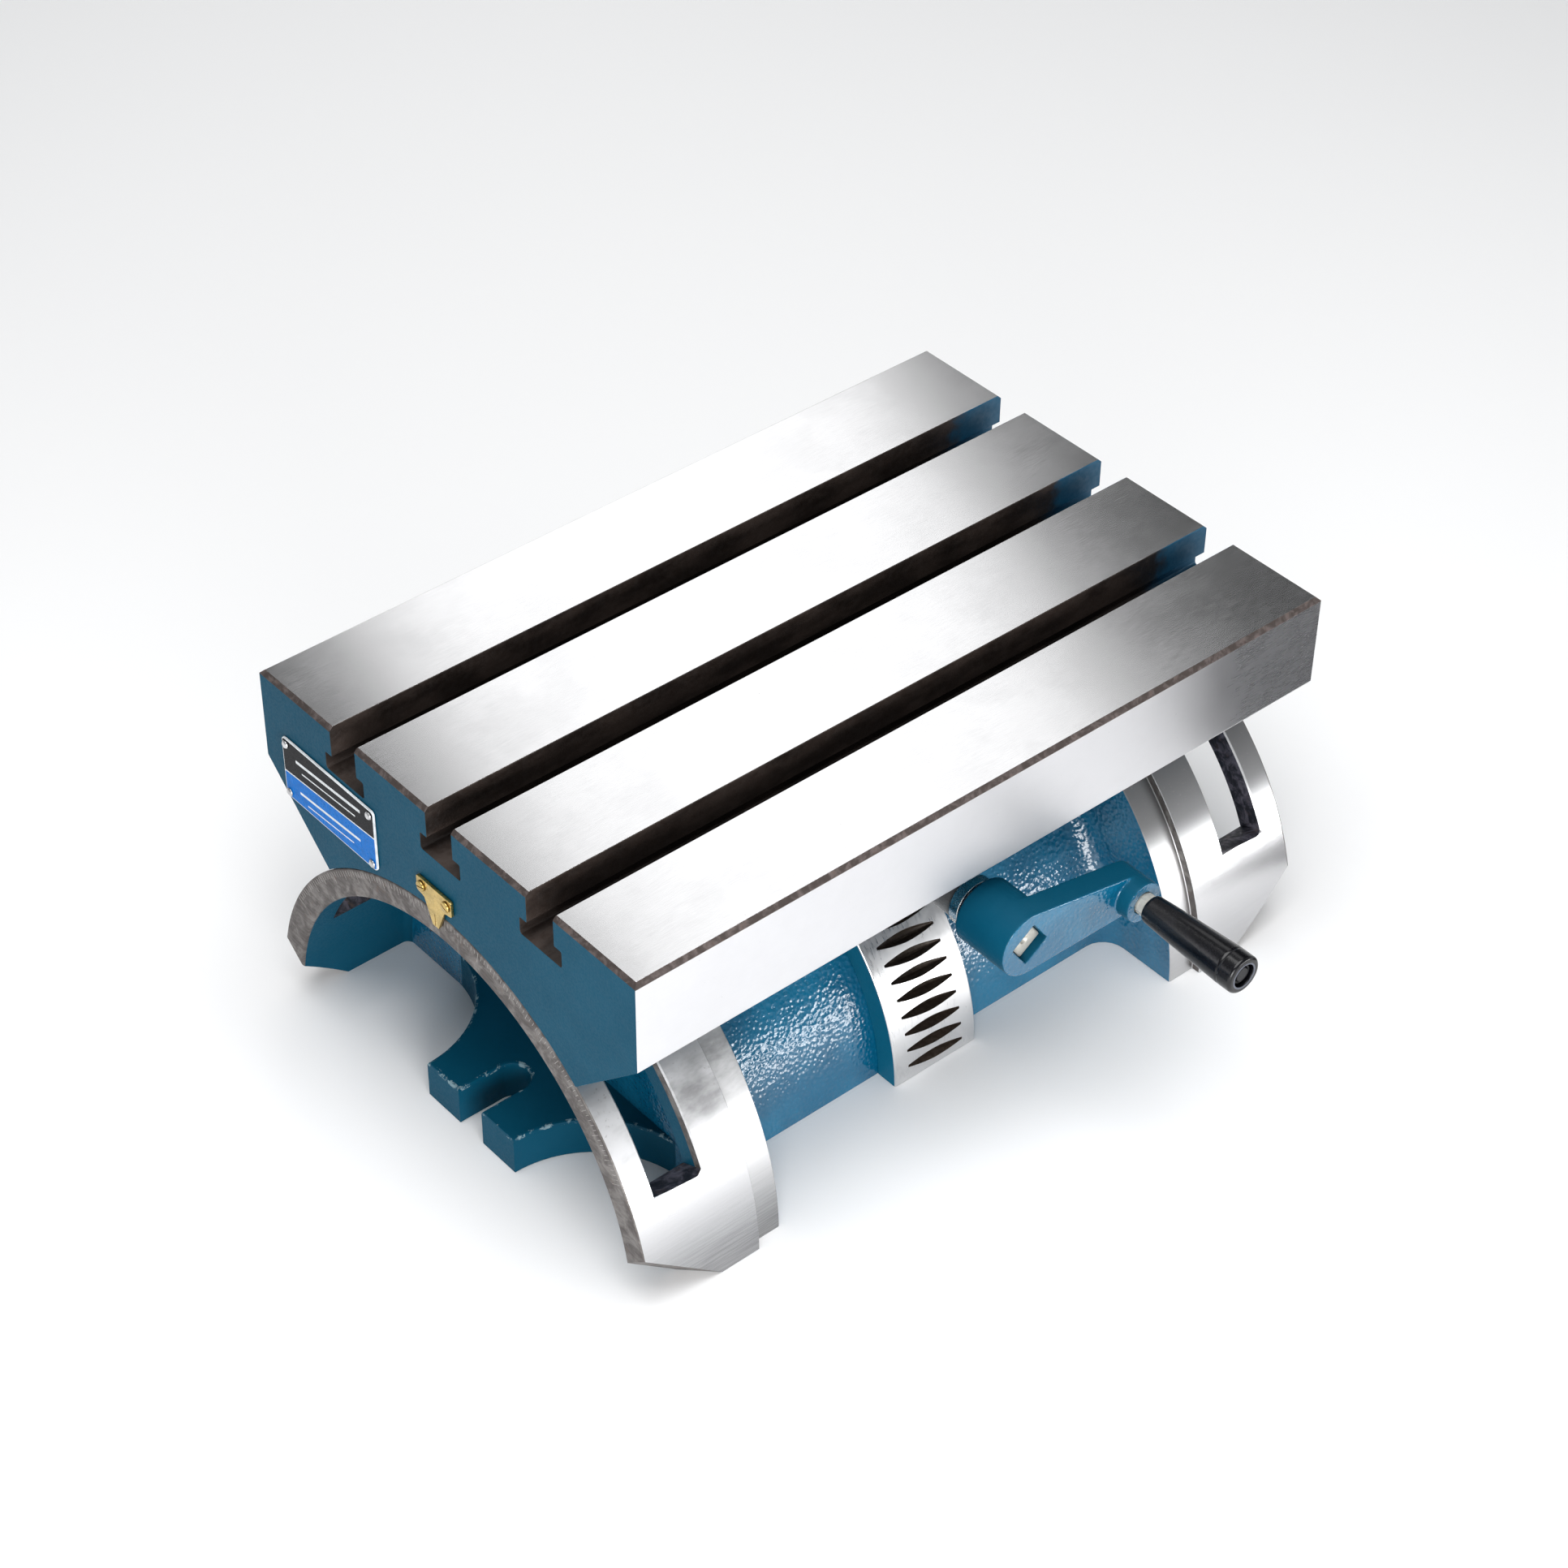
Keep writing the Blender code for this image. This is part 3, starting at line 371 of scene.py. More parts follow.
def add_node(tree, kind, inputs=(), **settings):
    """Shader node with its settings made and its inputs linked or given their values."""
    node = tree.nodes.new("ShaderNode" + kind)
    for key, value in settings.items():
        setattr(node, key, value)
    for key, value in dict(inputs).items():
        if isinstance(value, bpy.types.NodeSocket):
            tree.links.new(value, node.inputs[key])
        else:
            node.inputs[key].default_value = value
    return node


class Finish:
    """A Principled material and short ways to wire nodes into it."""

    def __init__(self, name, colour, roughness, metallic=0.0, **constants):
        self.material = bpy.data.materials.new(name)
        self.material.use_nodes = True
        self.tree = self.material.node_tree
        self.shader = self.tree.nodes["Principled BSDF"]
        self.place = self.tree.nodes.new("ShaderNodeTexCoord").outputs["Object"]
        self.material.diffuse_color = (*colour, 1)
        self.set("Base Color", (*colour, 1))
        self.set("Roughness", roughness)
        self.set("Metallic", metallic)
        for socket, value in constants.items():
            self.set(socket.replace("_", " "), value)

    def set(self, socket, value):
        if isinstance(value, bpy.types.NodeSocket):
            self.tree.links.new(value, self.shader.inputs[socket])
        else:
            self.shader.inputs[socket].default_value = value

    def node(self, kind, inputs=(), **settings):
        return add_node(self.tree, kind, inputs, **settings)

    def stretched(self, scale):
        """The piece's own coordinates, scaled per axis."""
        return self.node("Mapping", {"Vector": self.place, "Scale": scale}).outputs["Vector"]

    def noise(self, size, detail=2.0, roughness=0.5, stretch=(1, 1, 1), distortion=0.0):
        """Noise from 0 to 1 whose features are about size millimetres across."""
        inputs = {"Vector": self.stretched(stretch), "Scale": 1 / (size * MM),
                  "Detail": detail, "Roughness": roughness, "Distortion": distortion}
        return self.node("TexNoise", inputs).outputs["Fac"]

    def cells(self, size):
        """Smooth cells about size millimetres across, 0 in their middles."""
        inputs = {"Vector": self.stretched((1, 1, 1)), "Scale": 1 / (size * MM), "Smoothness": 0.6}
        return self.node("TexVoronoi", inputs, feature="SMOOTH_F1").outputs["Distance"]

    def ramp(self, value, low, high, to_low=0.0, to_high=1.0):
        """Maps low..high to to_low..to_high smoothly, clamped."""
        inputs = {"Value": value, "From Min": low, "From Max": high,
                  "To Min": to_low, "To Max": to_high}
        return self.node("MapRange", inputs, interpolation_type="SMOOTHSTEP").outputs["Result"]

    def patches(self, size, low, high, most=1.0, **kind):
        """Noise as patches: 0 where it is under low and most where it is over high."""
        return self.ramp(self.noise(size, **kind), low, high, 0, most)

    def math(self, operation, first, second):
        return self.node("Math", {0: first, 1: second}, operation=operation).outputs["Value"]

    def times(self, first, second):
        return self.math("MULTIPLY", first, second)

    def mix(self, share, first, second):
        """Blend of two colours, each a tuple or a socket."""
        colours = [(*c, 1) if isinstance(c, tuple) else c for c in (first, second)]
        node = self.node("Mix", {0: share, 6: colours[0], 7: colours[1]}, data_type="RGBA")
        return node.outputs[2]

    def axis(self, name):
        """One of the piece's coordinates, in metres."""
        return self.node("SeparateXYZ", {"Vector": self.place}).outputs[name]

    def colour(self, share, first, second):
        """Base colour as a blend."""
        self.set("Base Color", self.mix(share, first, second))

    def gloss(self, grain, low, high):
        """Roughness from low to high over the middle of a noise."""
        self.set("Roughness", self.ramp(grain, 0.3, 0.7, low, high))

    def bumped(self, *layers):
        """The material, with (height socket, depth in millimetres) layers in its normal."""
        normal = None
        for height, depth in layers:
            inputs = {"Height": height, "Distance": depth * MM, "Strength": 1.0}
            if normal is not None:
                inputs["Normal"] = normal
            normal = self.node("Bump", inputs).outputs["Normal"]
        self.set("Normal", normal)
        return self.material


def scaled(colour, share):
    return tuple(c * share for c in colour)


def hammered_enamel(name, colour, pale):
    """Thick blue enamel over sand-cast iron, with the orange-peel dimples of hammer paint."""
    look = Finish(name, colour, 0.2, Specular_IOR_Level=0.85)
    dimples = look.cells(1.9)
    grain = look.noise(0.9, detail=3)
    swell = look.noise(16)
    toned = look.mix(look.patches(34, 0.38, 0.68, 0.45, detail=3), colour, pale)
    look.colour(look.patches(1.7, 0.6, 0.75, 0.35, detail=3, roughness=0.6), toned, pale)
    look.gloss(grain, 0.1, 0.2)
    return look.bumped((swell, 0.5), (dimples, 0.34), (grain, 0.07))


def smooth_enamel(name, colour, pale):
    """The same enamel where it lies flat, on the machined-flat ends and on the feet."""
    look = Finish(name, colour, 0.46, Specular_IOR_Level=0.06)
    grain = look.noise(1.1, detail=3)
    toned = look.mix(look.patches(26, 0.35, 0.7, 0.5, detail=4), colour, pale)
    look.colour(look.patches(0.8, 0.62, 0.75, 0.3), toned, pale)
    look.gloss(grain, 0.34, 0.5)
    return look.bumped((look.noise(9), 0.12), (grain, 0.05))


def ground_iron(name, colour, lay, low=0.17, high=0.22, cloud=40, far_end=1.0):
    """Fine-ground cast iron, its lines along one axis, with its +X end rubbed smoother."""
    look = Finish(name, colour, 0.2, 1.0)
    lines = look.noise(0.45, detail=3, stretch=lay)
    clouds = look.patches(cloud, 0.35, 0.7, detail=4, roughness=0.6)
    toned = look.mix(look.times(clouds, 0.5), colour, scaled(colour, 0.93))
    look.colour(look.patches(1.3, 0.78, 0.86, 0.35, detail=1), toned, PIT_GREY)
    grain = look.math("ADD", look.times(lines, 0.8), look.times(clouds, 0.2))
    rubbed = look.ramp(look.axis("X"), 0.06, 0.15, 1, far_end)
    look.set("Roughness", look.times(look.ramp(grain, 0.25, 0.75, low, high), rubbed))
    return look.bumped((lines, 0.002))


def turned_iron(name, tone, smoothest):
    """Arch surfaces: bright, with painted shade: a darker grey band high up, in clouds where the table rubs them
    and even on the far arch, and darker streaks towards their feet.
    """
    look = Finish(name, tone, smoothest, 1.0)
    x, z = look.axis("X"), look.axis("Z")
    lines = look.noise(0.7, detail=3, stretch=(0.04, 1, 1))
    clouds = look.patches(26, 0.36, 0.68, detail=5, roughness=0.62, stretch=(0.5, 1, 1))
    # Painted shade, partly rubbed metal: the tone darkens in a band from about 60 mm up, in clouds on the near
    # arch and fading above about 90 mm there, and evenly on the far arch; the band is also rougher.
    far = look.ramp(x, -0.05, 0.12)
    upper = look.math("MAXIMUM", look.ramp(z, 0.084, 0.098, 1, 0.2), far)
    rubbed = look.times(look.ramp(z, 0.06, 0.076), upper)
    clouded_and_shaded = look.mix(look.times(look.math("MAXIMUM", clouds, far), rubbed), tone, scaled(tone, 0.36))
    # Painted shade: the tone darkens in streaks towards the arches' feet, fully at the near end and to about a
    # third at the far end.
    foot = look.times(look.ramp(z, 0.002, 0.052, 1, 0), look.ramp(x, -0.1, 0.1, 1, 0.3))
    streaked_foot_shade = look.mix(look.times(foot, look.ramp(lines, 0.3, 0.7, 0.75, 1)), clouded_and_shaded,
                        scaled(tone, 0.4))
    pits = look.times(look.patches(1.8, 0.64, 0.76, 0.6), look.ramp(z, 0.07, 0.085))
    look.colour(pits, streaked_foot_shade, PIT_GREY)
    dulled = look.math("ADD", look.times(rubbed, 0.7), look.times(lines, 0.3))
    look.set("Roughness", look.ramp(dulled, 0.05, 0.95, smoothest, smoothest + 0.24))
    return look.bumped((lines, 0.012), (look.noise(7, detail=3), 0.03))


def milled_iron(name, dark, pale, size, metallic=0.55):
    """Roughly milled iron: brown-grey with pale rubbed blotches and cutter marks."""
    look = Finish(name, dark, 0.5, metallic)
    blotches = look.patches(size, 0.42, 0.66, 0.85, detail=5, roughness=0.65, distortion=0.6)
    marks = look.noise(1.2, detail=3, stretch=(1, 0.25, 1))
    toned = look.mix(blotches, dark, pale)
    look.colour(look.patches(4, 0.6, 0.75, 0.4, detail=3), toned, RUST)
    look.gloss(marks, 0.42, 0.62)
    return look.bumped((look.noise(3.2, detail=3), 0.16), (marks, 0.07))


def slot_iron(name, paint):
    """Near-black walls of the T-slots, with overspray of the ends' paint near their far mouths."""
    dark, pale = (0.016, 0.011, 0.009), (0.05, 0.036, 0.03)
    look = Finish(name, (0.02, 0.014, 0.011), 0.5, 0.2)
    toned = look.mix(look.patches(9, 0.35, 0.7, detail=4, stretch=(0.35, 1, 1)), dark, pale)
    ragged = look.math("ADD", look.axis("X"), look.times(look.noise(6, detail=3), 0.02))
    start = (TABLE_HALF_X - OVERSPRAY) * MM
    look.colour(look.ramp(ragged, start, start + 0.012, 0, 0.9), toned, paint)
    look.gloss(look.noise(3), 0.4, 0.62)
    return look.bumped((look.noise(1.4, detail=3), 0.06))


def chipped_and_highlit_enamel(name, paint, bare_and_highlight):
    """Enamel on an exposed edge, rubbed through here and there; the pale spots are also a painted edge highlight.
    """
    look = Finish(name, paint, 0.45, Specular_IOR_Level=0.1)
    chips_and_highlight = look.patches(5, 0.52, 0.6, detail=5, roughness=0.7)
    look.colour(chips_and_highlight, paint, bare_and_highlight)
    look.set("Roughness", look.ramp(chips_and_highlight, 0, 1, 0.36, 0.6))
    return look.bumped((chips_and_highlight, -0.08), (look.noise(2), 0.1))


def plain_metal(name, colour, roughness, metallic=1.0, grain=0.6):
    """Small turned or formed pieces: slight tone and gloss changes and fine tool lines."""
    look = Finish(name, colour, roughness, metallic)
    look.colour(look.patches(5, 0.35, 0.7, detail=4), colour, scaled(colour, 0.72))
    lines = look.noise(grain, detail=3)
    look.gloss(lines, roughness * 0.8, roughness * 1.25)
    return look.bumped((lines, 0.012))


def moulded_plastic(name, colour):
    look = Finish(name, colour, 0.22, Specular_IOR_Level=0.4)
    grain = look.noise(0.5, detail=3)
    look.colour(look.patches(8, 0.4, 0.7, detail=3), colour, scaled(colour, 1.8))
    look.gloss(grain, 0.16, 0.28)
    return look.bumped((look.noise(6), 0.06), (grain, 0.02))


def felt_look(name, colour):
    look = Finish(name, colour, 0.95, Sheen_Weight=0.4)
    fibres = look.noise(0.4, detail=4, stretch=(1, 0.4, 1))
    look.colour(fibres, colour, scaled(colour, 2.5))
    return look.bumped((fibres, 0.2))


def printed_enamel(name, colour):
    """Screen-printed ink on the nameplate."""
    look = Finish(name, colour, 0.3, Specular_IOR_Level=0.06)
    look.colour(look.patches(3, 0.35, 0.75, detail=4), colour, scaled(colour, 0.8))
    look.gloss(look.noise(1.5), 0.255, 0.36)
    return look.bumped((look.noise(0.7), 0.01))


PAINT = (0.0005, 0.082, 0.165)
PAINT_PALE = (0.012, 0.17, 0.3)
PAINT_FLAT = (0.002, 0.06, 0.108)
PAINT_FLAT_PALE = (0.006, 0.075, 0.13)
PIT_GREY = (0.3, 0.29, 0.28)
RUST = (0.12, 0.07, 0.05)
ALONG_X = (0.05, 1, 1)
ROUND_X = (1, 0.08, 0.08)

enamel = hammered_enamel("hammered_blue_enamel", PAINT, PAINT_PALE)
flat_enamel = smooth_enamel("smooth_blue_enamel", PAINT_FLAT, PAINT_FLAT_PALE)
# Painted light: a lighter copy of the flat enamel for the worm wheel's side faces, which the arch walls shade.
lit_ring_enamel = smooth_enamel("lit_ring_enamel", (0.004, 0.11, 0.19), (0.008, 0.13, 0.22))
ground_top = ground_iron("ground_top", (0.86, 0.86, 0.87), ALONG_X)
# Painted shade: the side's ground iron has a darker colour than the top's, as well as a rougher grain.
ground_side_shaded = ground_iron("ground_side_shaded", (0.67, 0.67, 0.685), ALONG_X, 0.42, 0.48, far_end=0.62)
turned_arch = turned_iron("turned_arch", (0.64, 0.64, 0.65), 0.24)
turned_wall = turned_iron("turned_wall", (0.6, 0.6, 0.605), 0.34)
# Painted highlight: a paler copy of the turned iron for the rounded edge where the arch's outer band steps down.
painted_highlight_edge = plain_metal("painted_highlight_edge", (0.92, 0.92, 0.92), 0.5)
rough_rim = milled_iron("milled_rim", (0.095, 0.084, 0.08), (0.23, 0.215, 0.205), 9.0)
broken_edge = milled_iron("broken_edge", (0.05, 0.038, 0.034), (0.13, 0.105, 0.1), 4.0, 0.3)
# Rough iron in the arch windows, made near-black and blotchy as painted shade.
window_iron_and_shade = milled_iron("window_iron_and_shade", (0.012, 0.012, 0.018), (0.13, 0.12, 0.15), 5.0, 0.1)
slot_wall = slot_iron("slot_wall", PAINT)
wheel_silver = ground_iron("turned_wheel", (0.66, 0.66, 0.665), ROUND_X, 0.26, 0.4, 12)
dark_gash = milled_iron("dark_gash", (0.045, 0.032, 0.024), (0.09, 0.07, 0.055), 3.0, 0.3)
edge_enamel = chipped_and_highlit_enamel("chipped_and_highlit_enamel", PAINT_FLAT, (0.2, 0.3, 0.34))
steel = plain_metal("turned_steel", (0.66, 0.66, 0.65), 0.24)
pale_steel = plain_metal("pale_steel", (0.62, 0.6, 0.54), 0.42, 0.55)
mark_paint = plain_metal("mark_grey", (0.42, 0.4, 0.38), 0.6, 0.2)
black_steel = plain_metal("black_oxide", (0.035, 0.035, 0.038), 0.38, 0.8)
bronze = plain_metal("bearing_bronze", (0.5, 0.31, 0.13), 0.34)
brass = plain_metal("stamped_brass", (0.62, 0.45, 0.16), 0.32, grain=1.2)
alloy = plain_metal("rivet_alloy", (0.72, 0.72, 0.73), 0.3)
plastic = moulded_plastic("black_plastic", (0.0015, 0.0015, 0.0025))
grey_blue_plastic = plain_metal("grey_blue_plastic", (0.1, 0.11, 0.14), 0.45, 0.2)
felt = felt_look("oiled_felt", (0.02, 0.02, 0.02))
ink_black = printed_enamel("ink_black", (0.008, 0.008, 0.01))
ink_blue = printed_enamel("ink_blue", (0.003, 0.16, 0.56))
ink_white = printed_enamel("ink_white", (0.75, 0.78, 0.8))


# ---- base casting

def end_profile(side):
    """Half of the base's turned section as (radius, height, rounding) corners."""
    wall_in, wall_out = (side * x for x in WALL_X)
    end = side * TABLE_HALF_X
    return [(BARREL_RADIUS, wall_in, BARREL_FILLET), (WALL_RADIUS, wall_in, 0.8),
            (WALL_RADIUS, wall_out, 0.6), (ARCH_OUTER, wall_out, 0.5), (ARCH_OUTER, end, 0.8),
            (ARCH_INNER, end, 1.2), (ARCH_INNER, wall_out, 4.0), (0, wall_out, 0)]


def foot_outline():
    """Plan of the foot at +X with its open slot."""
    flare = FOOT_END_X - WALL_X[1]
    inside = WALL_X[1] - 8
    side = [(inside, -FOOT_HALF_Y - flare)]
    side += arc((FOOT_END_X, -FOOT_HALF_Y - flare), flare, 180, 90, 24)
    slot = ([(FOOT_END_X, -FOOT_SLOT_HALF)] + arc((FOOT_SLOT_X, 0), FOOT_SLOT_HALF, 270, 90, 20)
            + [(FOOT_END_X, FOOT_SLOT_HALF)])
    return side + slot + [(x, -y) for x, y in reversed(side)]


def foot(side):
    return slab(foot_outline(), 0, FOOT_TOP, 1.6, spin(0 if side > 0 else 180, "Z"), low_edge=0.4)


def window_cutter(side):
    """Cutter of both legs' arch slot, flared where it leaves the turned surface."""
    low, high = sorted(side * x for x in WINDOW_X)
    levels = [(ARCH_INNER - 6, 0), (WALL_RADIUS - 0.5, 0), (ARCH_OUTER - 0.7, 0),
              (ARCH_OUTER + 1.3, 2.0)]
    steps = 96
    sections = []
    for step in range(steps + 1):
        share = 2 * step / steps - 1
        section = []
        for near, sign in ((low, -1), (high, 1)):
            row = []
            for radius, grow in levels:
                limit = WINDOW_ANGLE + math.degrees(grow / radius)
                turn = math.radians(share * limit)
                row.append((near + sign * grow, -radius * math.sin(turn),
                            AXIS_Z + radius * math.cos(turn)))
            section += row if sign > 0 else row[::-1]
        sections.append(section)
    return loft(sections)


def corner_cutter(side, across):
    x, y, z = CORNER_CUT_POINT
    normal = Vector(CORNER_CUT_NORMAL) * Vector((side, across, 1))
    return block((-60, -60, 0), (60, 60, 120), along((side * x, across * y, z), normal))


def hollow_cutter(side):
    """Cored space inside the barrel, with a rounded rim at its far end."""
    outline = rounded([(0, RIB_HALF, 0), (BARREL_BORE, RIB_HALF, 4),
                       (BARREL_BORE, HOLLOW_END_X, 6), (0, HOLLOW_END_X, 0)])
    return lathe(outline, 96, along((0, 0, AXIS_Z), X_AXIS * side))


def base_finish(centre, normal):
    """Finish of a face of the base, told by where it is and which way it looks."""
    radius = math.hypot(centre.y, centre.z - AXIS_Z)
    x = abs(centre.x)
    outward = (normal.y * centre.y + normal.z * (centre.z - AXIS_Z)) / max(radius, 1)
    wall_in, wall_out = WALL_X
    if x > TABLE_HALF_X - 1.3 and radius > ARCH_INNER - 0.5:
        return rough_rim
    if outward > 0.55 and radius > WALL_RADIUS - 1.0 and x > wall_in + 0.1:
        return turned_wall if x < wall_out else turned_arch
    # Painted highlight: the rounded edge of the outer band's step.
    if outward > 0.2 and radius > ARCH_OUTER - 0.6 and x < wall_out + 0.7:
        return painted_highlight_edge
    if normal.z < -0.5 and abs(normal.x) > 0.4 and radius > ARCH_INNER:
        return rough_rim
    if wall_out - 0.7 < x < wall_out + 0.1 and radius > WALL_RADIUS - 0.5:
        return rough_rim
    in_window = (WINDOW_X[0] - 2.5 < x < WINDOW_X[1] + 2.5 and ARCH_INNER < radius
                 and abs(outward) < 0.5)
    # Window walls: rough iron darkened as painted shade, on the +X side all of them.
    if in_window and (abs(normal.x) < 0.5 or centre.x > 0):
        return window_iron_and_shade
    if in_window and radius > WALL_RADIUS - 0.8:
        return rough_rim
    if x > wall_out + 0.3:
        # Painted highlight, partly worn paint: the feet's top edges get the pale-spotted enamel.
        foot_edge = FOOT_TOP - 1.8 < centre.z < FOOT_TOP - 0.01 and 0.25 < normal.z < 0.97
        return edge_enamel if foot_edge else flat_enamel
    return enamel


def make_base():
    profile = rounded(end_profile(1)[::-1] + end_profile(-1), steps=6)
    base = make_object("base_body", lathe(profile, BASE_STEPS, TILT_AXIS))
    shape(base, "DIFFERENCE", block((-250, -180, -180), (250, 180, 0)))
    shape(base, "UNION", foot(1), foot(-1))
    shape(base, "DIFFERENCE", *[window_cutter(side) for side in SIDES],
          *[hollow_cutter(side) for side in SIDES],
          *[corner_cutter(side, across) for side in SIDES for across in SIDES])
    tidy_mesh(base)
    finish_piece(base, "base",
                 [enamel, turned_arch, rough_rim, flat_enamel, window_iron_and_shade, edge_enamel,
                  turned_wall, painted_highlight_edge], ["base_casting"], base_finish)


def make_rim_scale():
    """Painted degree marks on the arch's end face, longest at tens."""
    marks = []
    top = ARCH_OUTER - 1.0
    for degree in range(-MARK_RANGE, MARK_RANGE + 1):
        length = next(length for every, length in MARK_LENGTHS if degree % every == 0)
        outline = rounded(rectangle(-0.11, top - length, 0.11, top, 0.08), steps=2)
        placement = round_axis(degree, 0.2 - TABLE_HALF_X) @ UPRIGHT
        marks.append(slab(outline, -0.2 - MARK_PROUD, 0, 0.02, placement))
    make_piece("degree_marks", merge(*marks), "base", mark_paint)


# ---- worm wheel

def gash(angle):
    """Spindle-shaped tooth space left by the hob, deepest in its middle."""
    placement = round_axis(angle) @ at(0, 0, WHEEL_RADIUS) @ spin(GASH_SLANT, "Z")
    sections = []
    steps = 18
    for step in range(1, steps):
        share = 2 * step / steps - 1
        width = GASH_WIDTH * (1 - abs(share) ** 1.7) + 0.08
        depth = GASH_DEPTH * (1 - share * share) + 0.2
        trough = [(width * 1.25, 1.2), (width, 0), (width * 0.86, -0.45 * depth),
                  (width * 0.62, -0.9 * depth), (width * 0.3, -depth)]
        section = [(share * GASH_HALF, -y, z) for y, z in trough]
        section += [(share * GASH_HALF, y, z) for y, z in reversed(trough)]
        sections.append(section)
    return loft(sections, placement)


def wheel_finish(centre, normal):
    radius = math.hypot(centre.y, centre.z - AXIS_Z)
    # Painted light: the side faces get the lighter copy of the enamel.
    if abs(centre.x) > WHEEL_HALF - 0.05:
        return lit_ring_enamel
    in_gash = BARREL_RADIUS + 1 < radius < WHEEL_RADIUS - 0.06 and abs(centre.x) < GASH_HALF + 1
    return dark_gash if in_gash else wheel_silver


def make_wheel():
    bore, half = BARREL_RADIUS + GAP, WHEEL_HALF
    outline = rounded([(bore, -half, 0), (WHEEL_RADIUS, -half, 1.0),
                       (WHEEL_RADIUS, half, 1.0), (bore, half, 0)])
    wheel = make_object("wheel_rim", lathe(outline, WHEEL_STEPS, TILT_AXIS))
    shape(wheel, "DIFFERENCE", block((-40, -120, -120), (40, 120, 0)),
          merge(*[gash(index * WHEEL_PITCH) for index in range(-17, 18)]))
    tidy_mesh(wheel)
    finish_piece(wheel, "base", [wheel_silver, dark_gash, lit_ring_enamel],
                 ["worm_wheel_ring"], wheel_finish)


# ---- table casting

def table_outline():
    """Section across the table: slanted sides, saddle and three T-slots."""
    half, top, low = TABLE_HALF_Y, TABLE_TOP, TABLE_TOP - SIDE_HEIGHT
    corners = [(-half, low, 1.2), (-half, top - EDGE_BREAK, 0.5), (-half + EDGE_BREAK, top, 0.5)]
    for centre in (-SLOT_PITCH, 0, SLOT_PITCH):
        left = [(SLOT_HALF, top, 0.5), (SLOT_HALF, top - SLOT_SHOULDER, 0.5),
                (SLOT_WIDE_HALF, top - SLOT_SHOULDER, 0.8), (SLOT_WIDE_HALF, top - SLOT_DEPTH, 1.2)]
        corners += [(centre - y, z, r) for y, z, r in left]
        corners += [(centre + y, z, r) for y, z, r in reversed(left)]
    corners += [(half - EDGE_BREAK, top, 0.5), (half, top - EDGE_BREAK, 0.5), (half, low, 1.2)]
    radius = ARCH_OUTER + GAP
    edge = math.degrees(math.asin(SADDLE_EDGE_Y / radius))
    saddle = arc((0, AXIS_Z), radius, 90 - edge, 90 + edge, 96)
    ends = [(*saddle[0], 0), (*saddle[-1], 0)]
    outline = rounded(corners + ends)
    return outline[:-1] + saddle[1:]


def end_break(side):
    """Wedge that breaks the top edge of one end of the table."""
    placement = at(side * TABLE_HALF_X, 0, TABLE_TOP) @ spin(side * 45, "Y")
    return block((-20, -140, -EDGE_BREAK / math.sqrt(2)), (20, 140, 20), placement)


def table_finish(centre, normal):
    """Finish of a face of the table, told by where it is and which way it looks."""
    x, y, z = abs(centre.x), abs(centre.y), centre.z
    if z > TABLE_TOP - EDGE_BREAK - 0.3 and (x > TABLE_HALF_X - EDGE_BREAK
                                             or y > TABLE_HALF_Y - EDGE_BREAK):
        return broken_edge
    if z > TABLE_TOP - 0.05 and normal.z > 0.9:
        return ground_top
    if y > TABLE_HALF_Y - 0.4 and abs(normal.y) > 0.8:
        return ground_side_shaded
    if z > TABLE_TOP - SLOT_DEPTH - 1 and x < TABLE_HALF_X - 0.1:
        return slot_wall
    radius = math.hypot(centre.y, z - AXIS_Z)
    if abs(radius - ARCH_OUTER) < 1.0 and x < TABLE_HALF_X - 0.3:
        return turned_arch
    return flat_enamel


def make_table():
    half = TABLE_HALF_X
    levels = [(-half, 0.3), (-half + 0.1, 0.1), (-half + 0.3, 0), (half - 0.3, 0),
              (half - 0.1, 0.1), (half, 0.3)]
    table = make_object("table_body", layered(table_outline(), levels, UPRIGHT))
    x, y = POCKET_HALF
    pocket = rounded(rectangle(-x, -y, x, y, 9))
    way = SHAFT_WAY_HALF
    shaft_way = rounded([(-way, 60, 0), (way, 60, 0), (way, WORM_Z + way, way),
                         (-way, WORM_Z + way, way)], steps=10)
    forward = Matrix(((1, 0, 0, 0), (0, 0, 1, 0), (0, 1, 0, 0), (0, 0, 0, 1)))
    shape(table, "DIFFERENCE", slab(pocket, 60, POCKET_CEILING, 5, low_edge=0),
          layered(shaft_way, [(-130, 0), (-69, 0)], forward), end_break(1), end_break(-1))
    tidy_mesh(table)
    finish_piece(table, "table",
                 [flat_enamel, ground_top, ground_side_shaded, broken_edge, slot_wall, turned_arch],
                 ["table_casting"], table_finish)


# ---- crank

def soften(obj, voxel, smoothing):
    """Remeshes a piece finely and rounds all its edges, as on a painted casting."""
    remesh = obj.modifiers.new("Remesh", "REMESH")
    remesh.mode = "VOXEL"
    remesh.voxel_size = voxel * MM
    smooth = obj.modifiers.new("Smooth", "SMOOTH")
    smooth.iterations = smoothing
    apply_modifiers(obj)


def copy_node(name, node):
    """A free copy of a CAD node's mesh, its doubled corners welded."""
    obj = bpy.data.objects.new(name, frame["nodes"][node].data.copy())
    bpy.context.scene.collection.objects.link(obj)
    weld = obj.modifiers.new("Weld", "WELD")
    weld.merge_threshold = 0.00001
    return obj


def make_crank():
    arm = copy_node("crank_casting", "crank_arm")
    soften(arm, 0.5, 6)
    finish_piece(arm, "crank", [enamel, flat_enamel], ["crank_arm"],
                 lambda centre, normal: flat_enamel if abs(normal.y) < 0.6 else enamel, sharp=60)


def on_grip_axis(y):
    return along((GRIP_X, y, GRIP_Z), -Y_AXIS)


